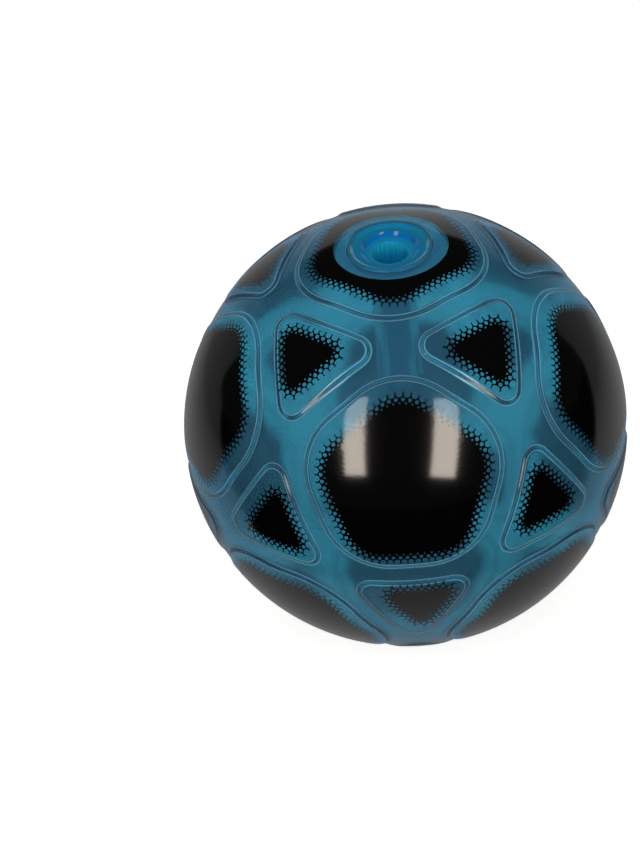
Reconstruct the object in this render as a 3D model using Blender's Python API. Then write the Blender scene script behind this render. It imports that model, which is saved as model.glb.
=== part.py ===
"""Light-up soccer ball: a moulded see-through shell with raised panels, and its light capsule.

Everything is in metres. The origin is the centre of the ball, +Z runs out through the
port, and the large panel below the port faces -Y. The capsule stands in the port's well.
"""

import math

import bmesh
import bpy
import numpy as np

# Play between two pieces that touch or seat on each other.
FIT_GAP = 0.0003

# Shell: a size 5 ball, 220 mm across.
BALL_RADIUS = 0.110
SHELL_WALL = 0.0027
CHANNEL_DEPTH = 0.0009
STEP_WIDTH = 0.0030
PENTAGON_INSET = 0.0075
PENTAGON_CORNER = 0.032
TRIANGLE_INSET = 0.0032
TRIANGLE_CORNER = 0.007
CONTACT_RADIUS = 0.014

# Port well: rim, bowl, ledge, ribbed bore and the flange under the shell.
RIM_RADIUS = 0.020
RIM_WIDTH = 0.0014
RIM_PROUD = 0.0006
LEDGE_RADIUS = 0.0138
LEDGE_WIDTH = 0.0008
LEDGE_DEPTH = 0.0015
BOWL_DEPTH = 0.0040
RIB_COUNT = 24
RIB_HEIGHT = 0.0005
RIB_LEAD = 0.0012
WELL_WALL = 0.0018
FLANGE_RADIUS = 0.026
FLANGE_THICKNESS = 0.0016
CAPSULE_HEADROOM = 0.030

# Inflation valve, in the panel opposite the one that faces -Y.
VALVE_NECK_RADIUS = 0.0045
VALVE_FLANGE_RADIUS = 0.010
VALVE_FLANGE_THICKNESS = 0.0015
VALVE_LENGTH = 0.014
VALVE_TAIL_WALL = 0.0012
CORE_HEAD_RADIUS = 0.0030
CORE_HEAD_HEIGHT = 0.0012
CORE_STEM_RADIUS = 0.0020
NEEDLE_RADIUS = 0.0006
NEEDLE_MOUTH_RADIUS = 0.0013

# Button cells and what holds them.
BATTERY_RADIUS = 0.0058
BATTERY_HEIGHT = 0.0054
BATTERY_COUNT = 3
BATTERY_CAP_INSET = 0.0011
BATTERY_CAP_HEIGHT = 0.0006
SLEEVE_WALL = 0.0006
SLEEVE_FLOOR = 0.0008
SLEEVE_HOLE_RADIUS = 0.0014
STRIP_COUNT = 2
STRIP_WIDTH = 0.0020
STRIP_THICKNESS = 0.0002
CONTACT_PLATE_RADIUS = 0.0045
CONTACT_PLATE_THICKNESS = 0.0004
SPRING_WIRE = 0.0005
SPRING_HEIGHT = 0.0032
SPRING_TURNS = 2.5
SPRING_FOOT_RADIUS = 0.0040
SPRING_HEAD_RADIUS = 0.0022

# Capsule body, cap, seal and button.
CAPSULE_WALL = 0.0011
CAPSULE_FLOOR = 0.0016
CAPSULE_FILLET = 0.0016
BOARD_REST = 0.0008
CAP_PLATE = 0.0014
CAP_FLANGE = 0.0022
CAP_CHAMFER = 0.0005
CAP_FLUTE = 0.0004
SKIRT_WALL = 0.0011
SEAL_SECTION = 0.0009
BUTTON_RADIUS = 0.0030
BUTTON_FLANGE_WIDTH = 0.0010
BUTTON_FLANGE = 0.0008
BUTTON_FOOT_RADIUS = 0.0015
BUTTON_FOOT = 0.0008
PRESS_TRAVEL = 0.0006

# Boards, switch, diodes, chip and shake sensor.
BOARD_THICKNESS = 0.0010
SWITCH_WIDTH = 0.0060
SWITCH_HEIGHT = 0.0022
SWITCH_FLOOR = 0.0005
STEM_RADIUS = 0.0015
STEM_PROUD = 0.0009
LED_COUNT = 3
LED_RADIUS = 0.0015
LED_LENGTH = 0.0046
LED_FLANGE_WIDTH = 0.0003
LED_FLANGE_HEIGHT = 0.0008
LED_CIRCLE = 0.0033
LED_TIP_GAP = 0.0005
CHIP_WIDTH = 0.0040
CHIP_HEIGHT = 0.0014
CHIP_OFFSET = 0.0028
SENSOR_RADIUS = 0.0020
SENSOR_WALL = 0.0003
SENSOR_HEIGHT = 0.0062
SENSOR_OFFSET = 0.0030
SENSOR_BASE = 0.0008
SENSOR_PIN_RADIUS = 0.0003
SENSOR_WIRE = 0.00025
SENSOR_COIL_RADIUS = 0.0010
SENSOR_COIL_PITCH = 0.0008
SENSOR_COIL_TURNS = 5

# How finely the surfaces are divided.
EDGE_STEPS = 6
BOWL_STEPS = 3
FILLET_STEPS = 2
DOME_STEPS = 3
SEAL_STEPS = 6
WELL_SEGMENTS = 2 * RIB_COUNT
ROUND_SEGMENTS = 24
SMALL_SEGMENTS = 12
COIL_STEPS = 10
SHARP_ANGLE = math.radians(30)

# The panels follow an icosahedron: a large panel at each corner, a small one at each face.
RING_POLAR = math.atan(2)
RING_COUNT = 5
FRONT_AZIMUTH = -math.pi / 2
CORNER_NEIGHBOUR_DOT = math.cos(RING_POLAR)
DOT_TOLERANCE = 1e-6
PORT_PANEL = 0
FOOT_PANEL = 6
VALVE_PANEL = 7
MIDDLE_RING_SHARE = 0.8
MERGE_DISTANCE = 1e-6

# Radii that follow from the sizes above.
inner_radius = BALL_RADIUS - SHELL_WALL
flange_seat_radius = inner_radius - FIT_GAP
port_hole_radius = RIM_RADIUS + FIT_GAP
valve_hole_radius = VALVE_NECK_RADIUS + FIT_GAP
sleeve_inner = BATTERY_RADIUS + FIT_GAP
sleeve_outer = sleeve_inner + SLEEVE_WALL
capsule_inner = sleeve_outer + FIT_GAP
capsule_outer = capsule_inner + CAPSULE_WALL
bore_radius = capsule_outer + FIT_GAP + RIB_HEIGHT
skirt_outer = capsule_inner - FIT_GAP
skirt_inner = skirt_outer - SKIRT_WALL
board_radius = capsule_inner - FIT_GAP
board_ledge = board_radius - BOARD_REST

# Heights in the capsule, upwards from the underside of its body.
led_tip = CAPSULE_FLOOR + LED_TIP_GAP
led_board_bottom = led_tip + LED_LENGTH + FIT_GAP
led_board_top = led_board_bottom + BOARD_THICKNESS
parts_bottom = led_board_top + FIT_GAP
sleeve_floor_bottom = parts_bottom + max(SENSOR_HEIGHT, CHIP_HEIGHT) + FIT_GAP
sleeve_floor_top = sleeve_floor_bottom + SLEEVE_FLOOR
spring_bottom = sleeve_floor_top + FIT_GAP
battery_bottom = spring_bottom + SPRING_HEIGHT + FIT_GAP
battery_pitch = BATTERY_HEIGHT + FIT_GAP
plate_bottom = battery_bottom + BATTERY_COUNT * battery_pitch
sleeve_top = plate_bottom + CONTACT_PLATE_THICKNESS
switch_board_bottom = sleeve_top + FIT_GAP
switch_board_top = switch_board_bottom + BOARD_THICKNESS
skirt_bottom = switch_board_top + FIT_GAP
switch_top = skirt_bottom + SWITCH_HEIGHT
stem_bottom = skirt_bottom + SWITCH_FLOOR + PRESS_TRAVEL + FIT_GAP
stem_top = switch_top + STEM_PROUD
button_bottom = stem_top + FIT_GAP
button_flange_bottom = button_bottom + BUTTON_FOOT
button_flange_top = button_flange_bottom + BUTTON_FLANGE
cap_plate_bottom = button_flange_top + FIT_GAP
cap_top = cap_plate_bottom + CAP_PLATE
cap_flange_bottom = cap_top - CAP_FLANGE
seal_top = cap_flange_bottom - FIT_GAP
seal_bottom = seal_top - SEAL_SECTION
capsule_top = seal_bottom - FIT_GAP

# Heights in the ball.
rim_z = math.sqrt(BALL_RADIUS**2 - port_hole_radius**2) + RIM_PROUD
well_floor_z = rim_z - CAPSULE_HEADROOM - cap_top - FIT_GAP
capsule_z = well_floor_z + FIT_GAP


def clear_scene():
    for old in list(bpy.data.objects):
        bpy.data.objects.remove(old, do_unlink=True)


def finish_of(name, colour, roughness, metallic=0.0, alpha=1.0):
    """A Principled material with a plain colour."""
    material = bpy.data.materials.new(name)
    material.use_nodes = True
    shader = material.node_tree.nodes["Principled BSDF"]
    shader.inputs["Base Color"].default_value = (*colour, 1.0)
    shader.inputs["Roughness"].default_value = roughness
    shader.inputs["Metallic"].default_value = metallic
    shader.inputs["Alpha"].default_value = alpha
    return material


def add_object(name, data, material, parent=None, location=(0, 0, 0)):
    """Link a mesh or curve to the scene as a piece of its own."""
    data.materials.append(material)
    piece = bpy.data.objects.new(name, data)
    piece.parent = parent
    piece.location = location
    bpy.context.collection.objects.link(piece)
    return piece


def add_solid(name, bm, material, parent=None, location=(0, 0, 0)):
    """Turn a bmesh into a piece, with its faces pointing out and its edges marked."""
    bmesh.ops.recalc_face_normals(bm, faces=bm.faces)
    mesh = bpy.data.meshes.new(name)
    bm.to_mesh(mesh)
    bm.free()
    mesh.shade_smooth()
    mesh.set_sharp_from_angle(angle=SHARP_ANGLE)
    return add_object(name, mesh, material, parent, location)


def add_empty(name, location=(0, 0, 0), rotation=(0, 0, 0)):
    """A guide that carries a group of pieces."""
    guide = bpy.data.objects.new(name, None)
    guide.location = location
    guide.rotation_euler = rotation
    bpy.context.collection.objects.link(guide)
    return guide


def bridge(bm, lower, upper):
    """Faces between two rings of vertices, or between a ring and a single pole."""
    for k in range(max(len(lower), len(upper))):
        corners = [ring[(k + step) % len(ring)] for ring, step in
                   ((lower, 0), (lower, 1), (upper, 1), (upper, 0))]
        bm.faces.new(dict.fromkeys(corners))


def turned(name, profile, material, parent=None, location=(0, 0, 0),
           segments=ROUND_SEGMENTS, flute=0.0, fluted=()):
    """A body turned about Z from a closed loop of (radius, height) points.

    A point at radius 0 is a pole. The points whose numbers are in fluted have every
    other column drawn in by flute, which gives ribs in a bore or flutes on a grip.
    """
    bm = bmesh.new()
    rings = []
    for number, (radius, height) in enumerate(profile):
        if radius == 0:
            rings.append([bm.verts.new((0, 0, height))])
            continue
        ring = []
        for k in range(segments):
            reach = radius - flute * (k % 2) if number in fluted else radius
            turn = math.tau * k / segments
            ring.append(bm.verts.new((reach * math.cos(turn), reach * math.sin(turn), height)))
        rings.append(ring)
    for lower, upper in zip(rings, rings[1:] + rings[:1]):
        if len(lower) + len(upper) > 2:
            bridge(bm, lower, upper)
    return add_solid(name, bm, material, parent, location)


def arc(centre, radius, start, end, steps):
    """Points on a circle in the (radius, height) plane, angles in degrees."""
    turns = np.radians(np.linspace(start, end, steps + 1))
    return [(max(0.0, centre[0] + radius * math.cos(t)), centre[1] + radius * math.sin(t))
            for t in turns]


def block(name, low, high, material, parent=None):
    """A rectangular piece between two corners, placed by its middle."""
    bm = bmesh.new()
    size = [b - a for a, b in zip(low, high)]
    middle = [(a + b) / 2 for a, b in zip(low, high)]
    bmesh.ops.create_cube(bm, size=1.0)
    bmesh.ops.scale(bm, vec=size, verts=bm.verts)
    return add_solid(name, bm, material, parent, middle)


def cut(piece, cutter):
    """Cut a hidden tool out of a piece."""
    cutter.hide_render = True
    cutter.display_type = "WIRE"
    boolean = piece.modifiers.new(cutter.name, "BOOLEAN")
    boolean.operation = "DIFFERENCE"
    boolean.object = cutter
    boolean.solver = "EXACT"


def coil(name, foot_radius, head_radius, height, turns, wire, material, parent, location):
    """A spring of one unbroken wire, from its foot to its head."""
    count = int(turns * COIL_STEPS) + 1
    along = np.linspace(0, 1, count)
    reach = foot_radius + (head_radius - foot_radius) * along
    turn = math.tau * turns * along
    rise = wire / 2 + (height - wire) * along
    points = np.stack([reach * np.cos(turn), reach * np.sin(turn), rise, np.ones(count)], 1)
    between = np.linalg.norm(points[:, None, :3] - points[None, :, :3], axis=2)
    apart = np.abs(np.subtract.outer(np.arange(count), np.arange(count)))
    print(f"{name}: least gap to itself {between[apart > COIL_STEPS / 2].min() - wire:.5f} m")
    curve = bpy.data.curves.new(name, "CURVE")
    curve.dimensions = "3D"
    curve.bevel_depth = wire / 2
    curve.bevel_resolution = 1
    curve.use_fill_caps = True
    spline = curve.splines.new("POLY")
    spline.points.add(count - 1)
    spline.points.foreach_set("co", points.ravel())
    return add_object(name, curve, material, parent, location)


def unit(vector):
    return np.asarray(vector) / np.linalg.norm(vector)


def panel_layout():
    """Centre and corners of every panel: twelve pentagons, then twenty triangles.

    The pentagons sit on an icosahedron's corners. The corners of the panels are the
    middles of its edges, and the triangles sit on its faces.
    """
    upper = [np.array([0.0, 0.0, 1.0])]
    for k in range(RING_COUNT):
        azimuth = FRONT_AZIMUTH + math.tau * k / RING_COUNT
        flat = math.sin(RING_POLAR)
        upper.append(np.array([flat * math.cos(azimuth), flat * math.sin(azimuth),
                               math.cos(RING_POLAR)]))
    axes = upper + [-axis for axis in upper]
    count = len(axes)
    near = [[j for j in range(count)
             if abs(axes[i] @ axes[j] - CORNER_NEIGHBOUR_DOT) < DOT_TOLERANCE] for i in range(count)]
    panels = [(axes[i], [unit(axes[i] + axes[j]) for j in near[i]]) for i in range(count)]
    for i in range(count):
        for j in near[i]:
            for k in near[j]:
                if i < j < k and k in near[i]:
                    trio = [axes[i], axes[j], axes[k]]
                    corners = [unit(trio[a] + trio[a - 1]) for a in range(len(trio))]
                    panels.append((unit(sum(trio)), corners))
    return panels


def panel_boundary(centre, corners):
    """Points round a panel's great-circle edge, closer together towards its corners.

    Returns the two directions that span the panel's plane, the distance angle of its
    edges' middles, and each point's turn and distance angle about the centre.
    """
    across = unit(corners[0] - (corners[0] @ centre) * centre)
    along = np.cross(centre, across)
    corners = sorted(corners, key=lambda p: math.atan2(p @ along, p @ across) % math.tau)
    share = (1 - np.cos(np.pi * np.arange(EDGE_STEPS) / EDGE_STEPS)) / 2
    points = []
    for start, end in zip(corners, corners[1:] + corners[:1]):
        span = math.acos(start @ end)
        for part in share:
            points.append((math.sin((1 - part) * span) * start + math.sin(part * span) * end)
                          / math.sin(span))
    edge_angle = math.asin(unit(np.cross(corners[0], corners[1])) @ centre)
    points = np.array(points)
    turns = np.arctan2(points @ along, points @ across)
    return across, along, edge_angle, turns, np.arccos(points @ centre)


def outline_reach(turns, sides, apothem, corner):
    """Distance from the middle to a rounded polygon's outline, at each turn.

    The polygon's first corner is at turn 0. Near an edge's middle the outline is the
    straight edge, and past the end of that it is the corner's circle.
    """
    half = math.pi / sides
    fold = np.abs((turns % (2 * half)) - half)
    straight_end = math.atan2((apothem - corner) * math.tan(half), apothem)
    centre_reach = (apothem - corner) / math.cos(half)
    off = half - fold
    round_part = centre_reach * np.cos(off) + np.sqrt(
        np.maximum(corner**2 - (centre_reach * np.sin(off))**2, 0))
    return np.where(fold <= straight_end, apothem / np.cos(fold), round_part)


def add_panel(bm, centre, corners, hole=0.0, flange=0.0, flat=0.0):
    """One panel of the shell, outside and inside, from its middle to its great-circle edge.

    hole is the radius that must pass through its middle, with flange the radius of the
    flange that seats behind it, and flat is the radius of a flat spot.
    """
    sides = len(corners)
    inset = PENTAGON_INSET if sides == 5 else TRIANGLE_INSET
    corner = PENTAGON_CORNER if sides == 5 else TRIANGLE_CORNER
    across, along, edge_angle, turns, edge = panel_boundary(centre, corners)
    outline = outline_reach(turns, sides, BALL_RADIUS * edge_angle - inset, corner)
    sideways = np.outer(np.cos(turns), across) + np.outer(np.sin(turns), along)
    widen = 1 / math.cos(np.diff(np.sort(turns)).max() / 2)
    floor_radius = BALL_RADIUS - CHANNEL_DEPTH
    half_way = outline.min() / 2

    def ring(angles, radius):
        angles = np.broadcast_to(angles, turns.shape)[:, None]
        points = radius * (np.cos(angles) * centre + np.sin(angles) * sideways)
        return [bm.verts.new(point) for point in points]

    def circle(reach, radius):
        return ring(math.asin(reach / radius), radius)

    def pole(radius):
        return [bm.verts.new(radius * centre)]

    if hole:
        outer = [circle(hole * widen, BALL_RADIUS)]
        inner = [circle(hole * widen, inner_radius), circle(flange * widen, inner_radius)]
        bridge(bm, outer[0], inner[0])
    else:
        outer = [pole(math.sqrt(BALL_RADIUS**2 - flat**2))]
        inner = [pole(inner_radius), circle(half_way, inner_radius)]
    if flat:
        outer.append(circle(flat, BALL_RADIUS))
    if max(hole, flat) < half_way * MIDDLE_RING_SHARE:
        outer.append(circle(half_way, BALL_RADIUS))
    outer.append(ring((outline - STEP_WIDTH / 2) / BALL_RADIUS, BALL_RADIUS))
    outer.append(ring((outline + STEP_WIDTH / 2) / BALL_RADIUS, floor_radius))
    outer.append(ring(edge, floor_radius))
    inner.append(ring(edge, inner_radius))
    for rings in (outer, inner):
        for near, far in zip(rings, rings[1:]):
            bridge(bm, near, far)


def ball_shell(material):
    """The shell: raised rounded panels on a sphere, with the port, the valve and a foot."""
    bm = bmesh.new()
    middles = {
        PORT_PANEL: {"hole": port_hole_radius, "flange": FLANGE_RADIUS},
        VALVE_PANEL: {"hole": valve_hole_radius, "flange": VALVE_FLANGE_RADIUS},
        FOOT_PANEL: {"flat": CONTACT_RADIUS},
    }
    for number, (centre, corners) in enumerate(panel_layout()):
        add_panel(bm, centre, corners, **middles.get(number, {}))
    bmesh.ops.remove_doubles(bm, verts=bm.verts, dist=MERGE_DISTANCE)
    add_solid("ball_shell", bm, material)


def under_shell(reach):
    """Height of the flange's seat under the shell, on the axis of a hole."""
    return math.sqrt(flange_seat_radius**2 - reach**2)


def port_well(material):
    """Rim, bowl with a ledge, ribbed bore and closed floor, with a flange under the shell."""
    ledge_z = rim_z - LEDGE_DEPTH
    bore_z = rim_z - BOWL_DEPTH
    profile = [(RIM_RADIUS, rim_z), (RIM_RADIUS - RIM_WIDTH, rim_z)]
    for step in range(1, BOWL_STEPS + 1):
        slope = math.pi / 2 * step / BOWL_STEPS
        reach = LEDGE_RADIUS + LEDGE_WIDTH
        profile.append((reach + (RIM_RADIUS - RIM_WIDTH - reach) * math.cos(slope),
                        rim_z - LEDGE_DEPTH * math.sin(slope)))
    for step in range(BOWL_STEPS + 1):
        slope = math.pi / 2 * step / BOWL_STEPS
        profile.append((bore_radius + (LEDGE_RADIUS - bore_radius) * math.cos(slope),
                        ledge_z + (bore_z - ledge_z) * math.sin(slope)))
    first_rib = len(profile)
    profile += [
        (bore_radius, bore_z - RIB_LEAD),
        (bore_radius, well_floor_z),
        (0, well_floor_z),
        (0, well_floor_z - WELL_WALL),
        (bore_radius, well_floor_z - WELL_WALL),
        (bore_radius + WELL_WALL, well_floor_z),
        (bore_radius + WELL_WALL, bore_z - WELL_WALL),
        (LEDGE_RADIUS + WELL_WALL, ledge_z - WELL_WALL),
        (RIM_RADIUS, under_shell(RIM_RADIUS) - FLANGE_THICKNESS),
        (FLANGE_RADIUS, under_shell(FLANGE_RADIUS) - FLANGE_THICKNESS),
        (FLANGE_RADIUS, under_shell(FLANGE_RADIUS)),
        (RIM_RADIUS, under_shell(RIM_RADIUS)),
    ]
    turned("port_well", profile, material, segments=WELL_SEGMENTS,
           flute=RIB_HEIGHT, fluted=(first_rib, first_rib + 1))


def inflation_valve(material):
    """Rubber seat held by its flange behind the shell, and the core that the needle enters."""
    guide = add_empty("valve_guide", rotation=(RING_POLAR - math.pi, 0, 0))
    top = math.sqrt(BALL_RADIUS**2 - valve_hole_radius**2)
    tail = top - VALVE_LENGTH
    head_seat = top - CORE_HEAD_HEIGHT - FIT_GAP
    bore = CORE_STEM_RADIUS + FIT_GAP
    seat = [
        (CORE_HEAD_RADIUS + FIT_GAP, top),
        (VALVE_NECK_RADIUS, top),
        (VALVE_NECK_RADIUS, under_shell(VALVE_NECK_RADIUS)),
        (VALVE_FLANGE_RADIUS, under_shell(VALVE_FLANGE_RADIUS)),
        (VALVE_FLANGE_RADIUS, under_shell(VALVE_FLANGE_RADIUS) - VALVE_FLANGE_THICKNESS),
        (VALVE_NECK_RADIUS, under_shell(VALVE_NECK_RADIUS) - 2 * VALVE_FLANGE_THICKNESS),
        (bore + VALVE_TAIL_WALL, tail),
        (bore, tail),
        (bore, head_seat),
        (CORE_HEAD_RADIUS + FIT_GAP, head_seat),
    ]
    turned("valve_seat", seat, material, guide)
    core = [
        (NEEDLE_MOUTH_RADIUS, top),
        (CORE_HEAD_RADIUS, top),
        (CORE_HEAD_RADIUS, head_seat + FIT_GAP),
        (CORE_STEM_RADIUS, head_seat + FIT_GAP),
        (CORE_STEM_RADIUS, tail),
        (NEEDLE_RADIUS, tail),
        (NEEDLE_RADIUS, head_seat),
    ]
    turned("valve_core", core, material, guide)


def disc(name, radius, low, high, material, parent):
    """A plain round plate."""
    turned(name, [(0, high), (radius, high), (radius, low), (0, low)], material, parent)


def capsule_shell(parent, clear, opaque, rubber):
    """Clear body, screw cap, seal and push button of the capsule."""
    body = [(0, 0)]
    body += arc((capsule_outer - CAPSULE_FILLET, CAPSULE_FILLET), CAPSULE_FILLET, -90, 0, FILLET_STEPS)
    body += [
        (capsule_outer, capsule_top),
        (capsule_inner, capsule_top),
        (capsule_inner, led_board_bottom - FIT_GAP),
        (board_ledge, led_board_bottom - FIT_GAP),
        (board_ledge, CAPSULE_FLOOR),
        (0, CAPSULE_FLOOR),
    ]
    turned("capsule_body", body, clear, parent)

    hole = BUTTON_RADIUS + FIT_GAP
    cap = [
        (hole, cap_top),
        (capsule_outer - CAP_FLUTE - CAP_CHAMFER, cap_top),
        (capsule_outer, cap_top - CAP_CHAMFER),
        (capsule_outer, cap_flange_bottom),
        (skirt_outer, cap_flange_bottom),
        (skirt_outer, skirt_bottom),
        (skirt_inner, skirt_bottom),
        (skirt_inner, cap_plate_bottom),
        (hole, cap_plate_bottom),
    ]
    turned("capsule_cap", cap, opaque, parent, flute=CAP_FLUTE, fluted=(2, 3))

    seal_middle = ((capsule_inner + capsule_outer) / 2, (seal_bottom + seal_top) / 2)
    seal = arc(seal_middle, SEAL_SECTION / 2, 90, 90 - 360, SEAL_STEPS)[:-1]
    turned("cap_seal", seal, rubber, parent)

    button = [
        (0, cap_top),
        (BUTTON_RADIUS, cap_top),
        (BUTTON_RADIUS, button_flange_top),
        (BUTTON_RADIUS + BUTTON_FLANGE_WIDTH, button_flange_top),
        (BUTTON_RADIUS + BUTTON_FLANGE_WIDTH, button_flange_bottom),
        (BUTTON_FOOT_RADIUS, button_flange_bottom),
        (BUTTON_FOOT_RADIUS, button_bottom),
        (0, button_bottom),
    ]
    turned("power_button", button, rubber, parent)


def power_pack(parent, steel, brass, moulded):
    """Button cells in their sleeve, with the coil below, the plate above and the bus strips."""
    cap_radius = BATTERY_RADIUS - BATTERY_CAP_INSET
    cell = [
        (0, BATTERY_HEIGHT),
        (BATTERY_RADIUS, BATTERY_HEIGHT),
        (BATTERY_RADIUS, BATTERY_CAP_HEIGHT),
        (cap_radius, BATTERY_CAP_HEIGHT),
        (cap_radius, 0),
        (0, 0),
    ]
    for k in range(BATTERY_COUNT):
        place = (0, 0, battery_bottom + k * battery_pitch)
        turned(f"battery_{k + 1}", cell, steel, parent, place)

    coil("contact_spring", SPRING_FOOT_RADIUS, SPRING_HEAD_RADIUS, SPRING_HEIGHT, SPRING_TURNS,
         SPRING_WIRE, brass, parent, (0, 0, spring_bottom))
    disc("contact_plate", CONTACT_PLATE_RADIUS, plate_bottom, sleeve_top, brass, parent)

    tube = [
        (sleeve_outer, sleeve_top),
        (sleeve_outer, parts_bottom),
        (sleeve_inner, parts_bottom),
        (sleeve_inner, sleeve_floor_bottom),
        (SLEEVE_HOLE_RADIUS, sleeve_floor_bottom),
        (SLEEVE_HOLE_RADIUS, sleeve_floor_top),
        (sleeve_inner, sleeve_floor_top),
        (sleeve_inner, sleeve_top),
    ]
    sleeve = turned("battery_sleeve", tube, moulded, parent)
    slot_half = STRIP_WIDTH / 2 + FIT_GAP
    strip_middle = (sleeve_inner + sleeve_outer) / 2
    for k in range(STRIP_COUNT):
        side = 1 - 2 * k
        reach = sorted((side * sleeve_inner * math.cos(math.pi / ROUND_SEGMENTS), side * capsule_inner))
        cut(sleeve, block(f"strip_slot_{k + 1}", (reach[0], -slot_half, parts_bottom - FIT_GAP),
                          (reach[1], slot_half, sleeve_top + FIT_GAP), moulded, parent))
        block(f"bus_strip_{k + 1}",
              (side * strip_middle - STRIP_THICKNESS / 2, -STRIP_WIDTH / 2, parts_bottom),
              (side * strip_middle + STRIP_THICKNESS / 2, STRIP_WIDTH / 2, sleeve_top),
              brass, parent)


def upper_board(parent, board, moulded):
    """Board under the cap, with the switch that the button presses."""
    disc("switch_board", board_radius, switch_board_bottom, switch_board_top, board, parent)
    half = SWITCH_WIDTH / 2
    switch = block("tact_switch", (-half, -half, skirt_bottom), (half, half, switch_top), moulded, parent)
    bore = STEM_RADIUS + FIT_GAP
    well = [(0, switch_top + FIT_GAP), (bore, switch_top + FIT_GAP),
            (bore, skirt_bottom + SWITCH_FLOOR), (0, skirt_bottom + SWITCH_FLOOR)]
    cut(switch, turned("switch_bore", well, moulded, parent))
    disc("switch_plunger", STEM_RADIUS, stem_bottom, stem_top, moulded, parent)


def lower_board(parent, board, epoxy, moulded, brass):
    """Board over the diodes, with the flasher chip and the shake sensor."""
    disc("led_board", board_radius, led_board_bottom, led_board_top, board, parent)
    lamp = [(0, 0)]
    lamp += arc((0, LED_RADIUS), LED_RADIUS, -90, 0, DOME_STEPS)[1:]
    lamp += [
        (LED_RADIUS, LED_LENGTH - LED_FLANGE_HEIGHT),
        (LED_RADIUS + LED_FLANGE_WIDTH, LED_LENGTH - LED_FLANGE_HEIGHT),
        (LED_RADIUS + LED_FLANGE_WIDTH, LED_LENGTH),
        (0, LED_LENGTH),
    ]
    for k in range(LED_COUNT):
        turn = math.tau * k / LED_COUNT
        place = (LED_CIRCLE * math.cos(turn), LED_CIRCLE * math.sin(turn), led_tip)
        turned(f"led_{k + 1}", lamp, epoxy, parent, place, SMALL_SEGMENTS)

    half = CHIP_WIDTH / 2
    block("controller_chip", (CHIP_OFFSET - half, -half, parts_bottom),
          (CHIP_OFFSET + half, half, parts_bottom + CHIP_HEIGHT), moulded, parent)

    place = (-SENSOR_OFFSET, 0, parts_bottom)
    inside = SENSOR_RADIUS - SENSOR_WALL
    lid = SENSOR_HEIGHT - SENSOR_WALL
    can = [(0, SENSOR_HEIGHT), (SENSOR_RADIUS, SENSOR_HEIGHT), (SENSOR_RADIUS, 0),
           (inside, 0), (inside, lid), (0, lid)]
    turned("sensor_case", can, brass, parent, place, SMALL_SEGMENTS)
    base = inside - FIT_GAP
    pin = [(0, lid - FIT_GAP), (SENSOR_PIN_RADIUS, lid - FIT_GAP), (SENSOR_PIN_RADIUS, SENSOR_BASE),
           (base, SENSOR_BASE), (base, 0), (0, 0)]
    turned("sensor_pin", pin, brass, parent, place, SMALL_SEGMENTS)
    rise = SENSOR_COIL_PITCH * SENSOR_COIL_TURNS + SENSOR_WIRE
    coil("sensor_spring", SENSOR_COIL_RADIUS, SENSOR_COIL_RADIUS, rise, SENSOR_COIL_TURNS,
         SENSOR_WIRE, brass, parent, (-SENSOR_OFFSET, 0, parts_bottom + SENSOR_BASE + FIT_GAP))


def main():
    clear_scene()
    shell_pvc = finish_of("translucent blue pvc", (0.02, 0.17, 0.30), 0.12, alpha=0.75)
    well_pvc = finish_of("bright blue pvc", (0.0, 0.17, 0.45), 0.12, alpha=0.75)
    rubber = finish_of("black rubber", (0.02, 0.02, 0.02), 0.6)
    clear = finish_of("clear polycarbonate", (0.85, 0.92, 0.95), 0.05, alpha=0.35)
    moulded = finish_of("dark abs", (0.03, 0.03, 0.035), 0.4)
    white_abs = finish_of("white abs", (0.75, 0.76, 0.78), 0.35)
    steel = finish_of("nickel plated steel", (0.62, 0.61, 0.58), 0.25, metallic=1.0)
    brass = finish_of("brass", (0.70, 0.52, 0.22), 0.3, metallic=1.0)
    board = finish_of("circuit board", (0.02, 0.16, 0.07), 0.45)
    epoxy = finish_of("clear epoxy", (0.75, 0.88, 1.0), 0.08, alpha=0.5)

    ball_shell(shell_pvc)
    port_well(well_pvc)
    inflation_valve(rubber)
    capsule = add_empty("capsule_guide", (0, 0, capsule_z))
    capsule_shell(capsule, clear, white_abs, rubber)
    power_pack(capsule, steel, brass, moulded)
    upper_board(capsule, board, moulded)
    lower_board(capsule, board, epoxy, moulded, brass)


main()
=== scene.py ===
# %% [markdown]
# # A light-up soccer ball
#
# The frame holds the ball as plain solids at their real size. This script dresses them: a
# see-through moulded shell with raised panels, glossy black print that breaks up into a
# honeycomb at its edge, a deep blue port, and the light capsule that stands in it. Nothing
# that comes from the frame is moved or resized.

# %% Load the frame
import itertools
import math

import bpy
import numpy as np
from mathutils import Matrix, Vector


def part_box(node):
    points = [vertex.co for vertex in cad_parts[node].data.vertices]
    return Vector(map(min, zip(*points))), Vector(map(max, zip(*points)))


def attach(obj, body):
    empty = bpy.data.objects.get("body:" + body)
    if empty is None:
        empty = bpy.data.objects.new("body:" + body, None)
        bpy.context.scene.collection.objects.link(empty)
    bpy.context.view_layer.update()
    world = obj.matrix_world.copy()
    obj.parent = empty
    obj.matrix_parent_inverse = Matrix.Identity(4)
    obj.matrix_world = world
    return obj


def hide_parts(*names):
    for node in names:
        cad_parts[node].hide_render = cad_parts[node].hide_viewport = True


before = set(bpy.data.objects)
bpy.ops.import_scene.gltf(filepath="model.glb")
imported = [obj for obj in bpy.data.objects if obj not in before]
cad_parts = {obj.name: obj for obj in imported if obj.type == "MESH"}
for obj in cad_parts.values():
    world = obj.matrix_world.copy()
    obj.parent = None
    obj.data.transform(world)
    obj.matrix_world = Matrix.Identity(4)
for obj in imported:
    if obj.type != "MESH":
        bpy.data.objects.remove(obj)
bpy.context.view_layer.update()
MM = 0.001

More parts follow.
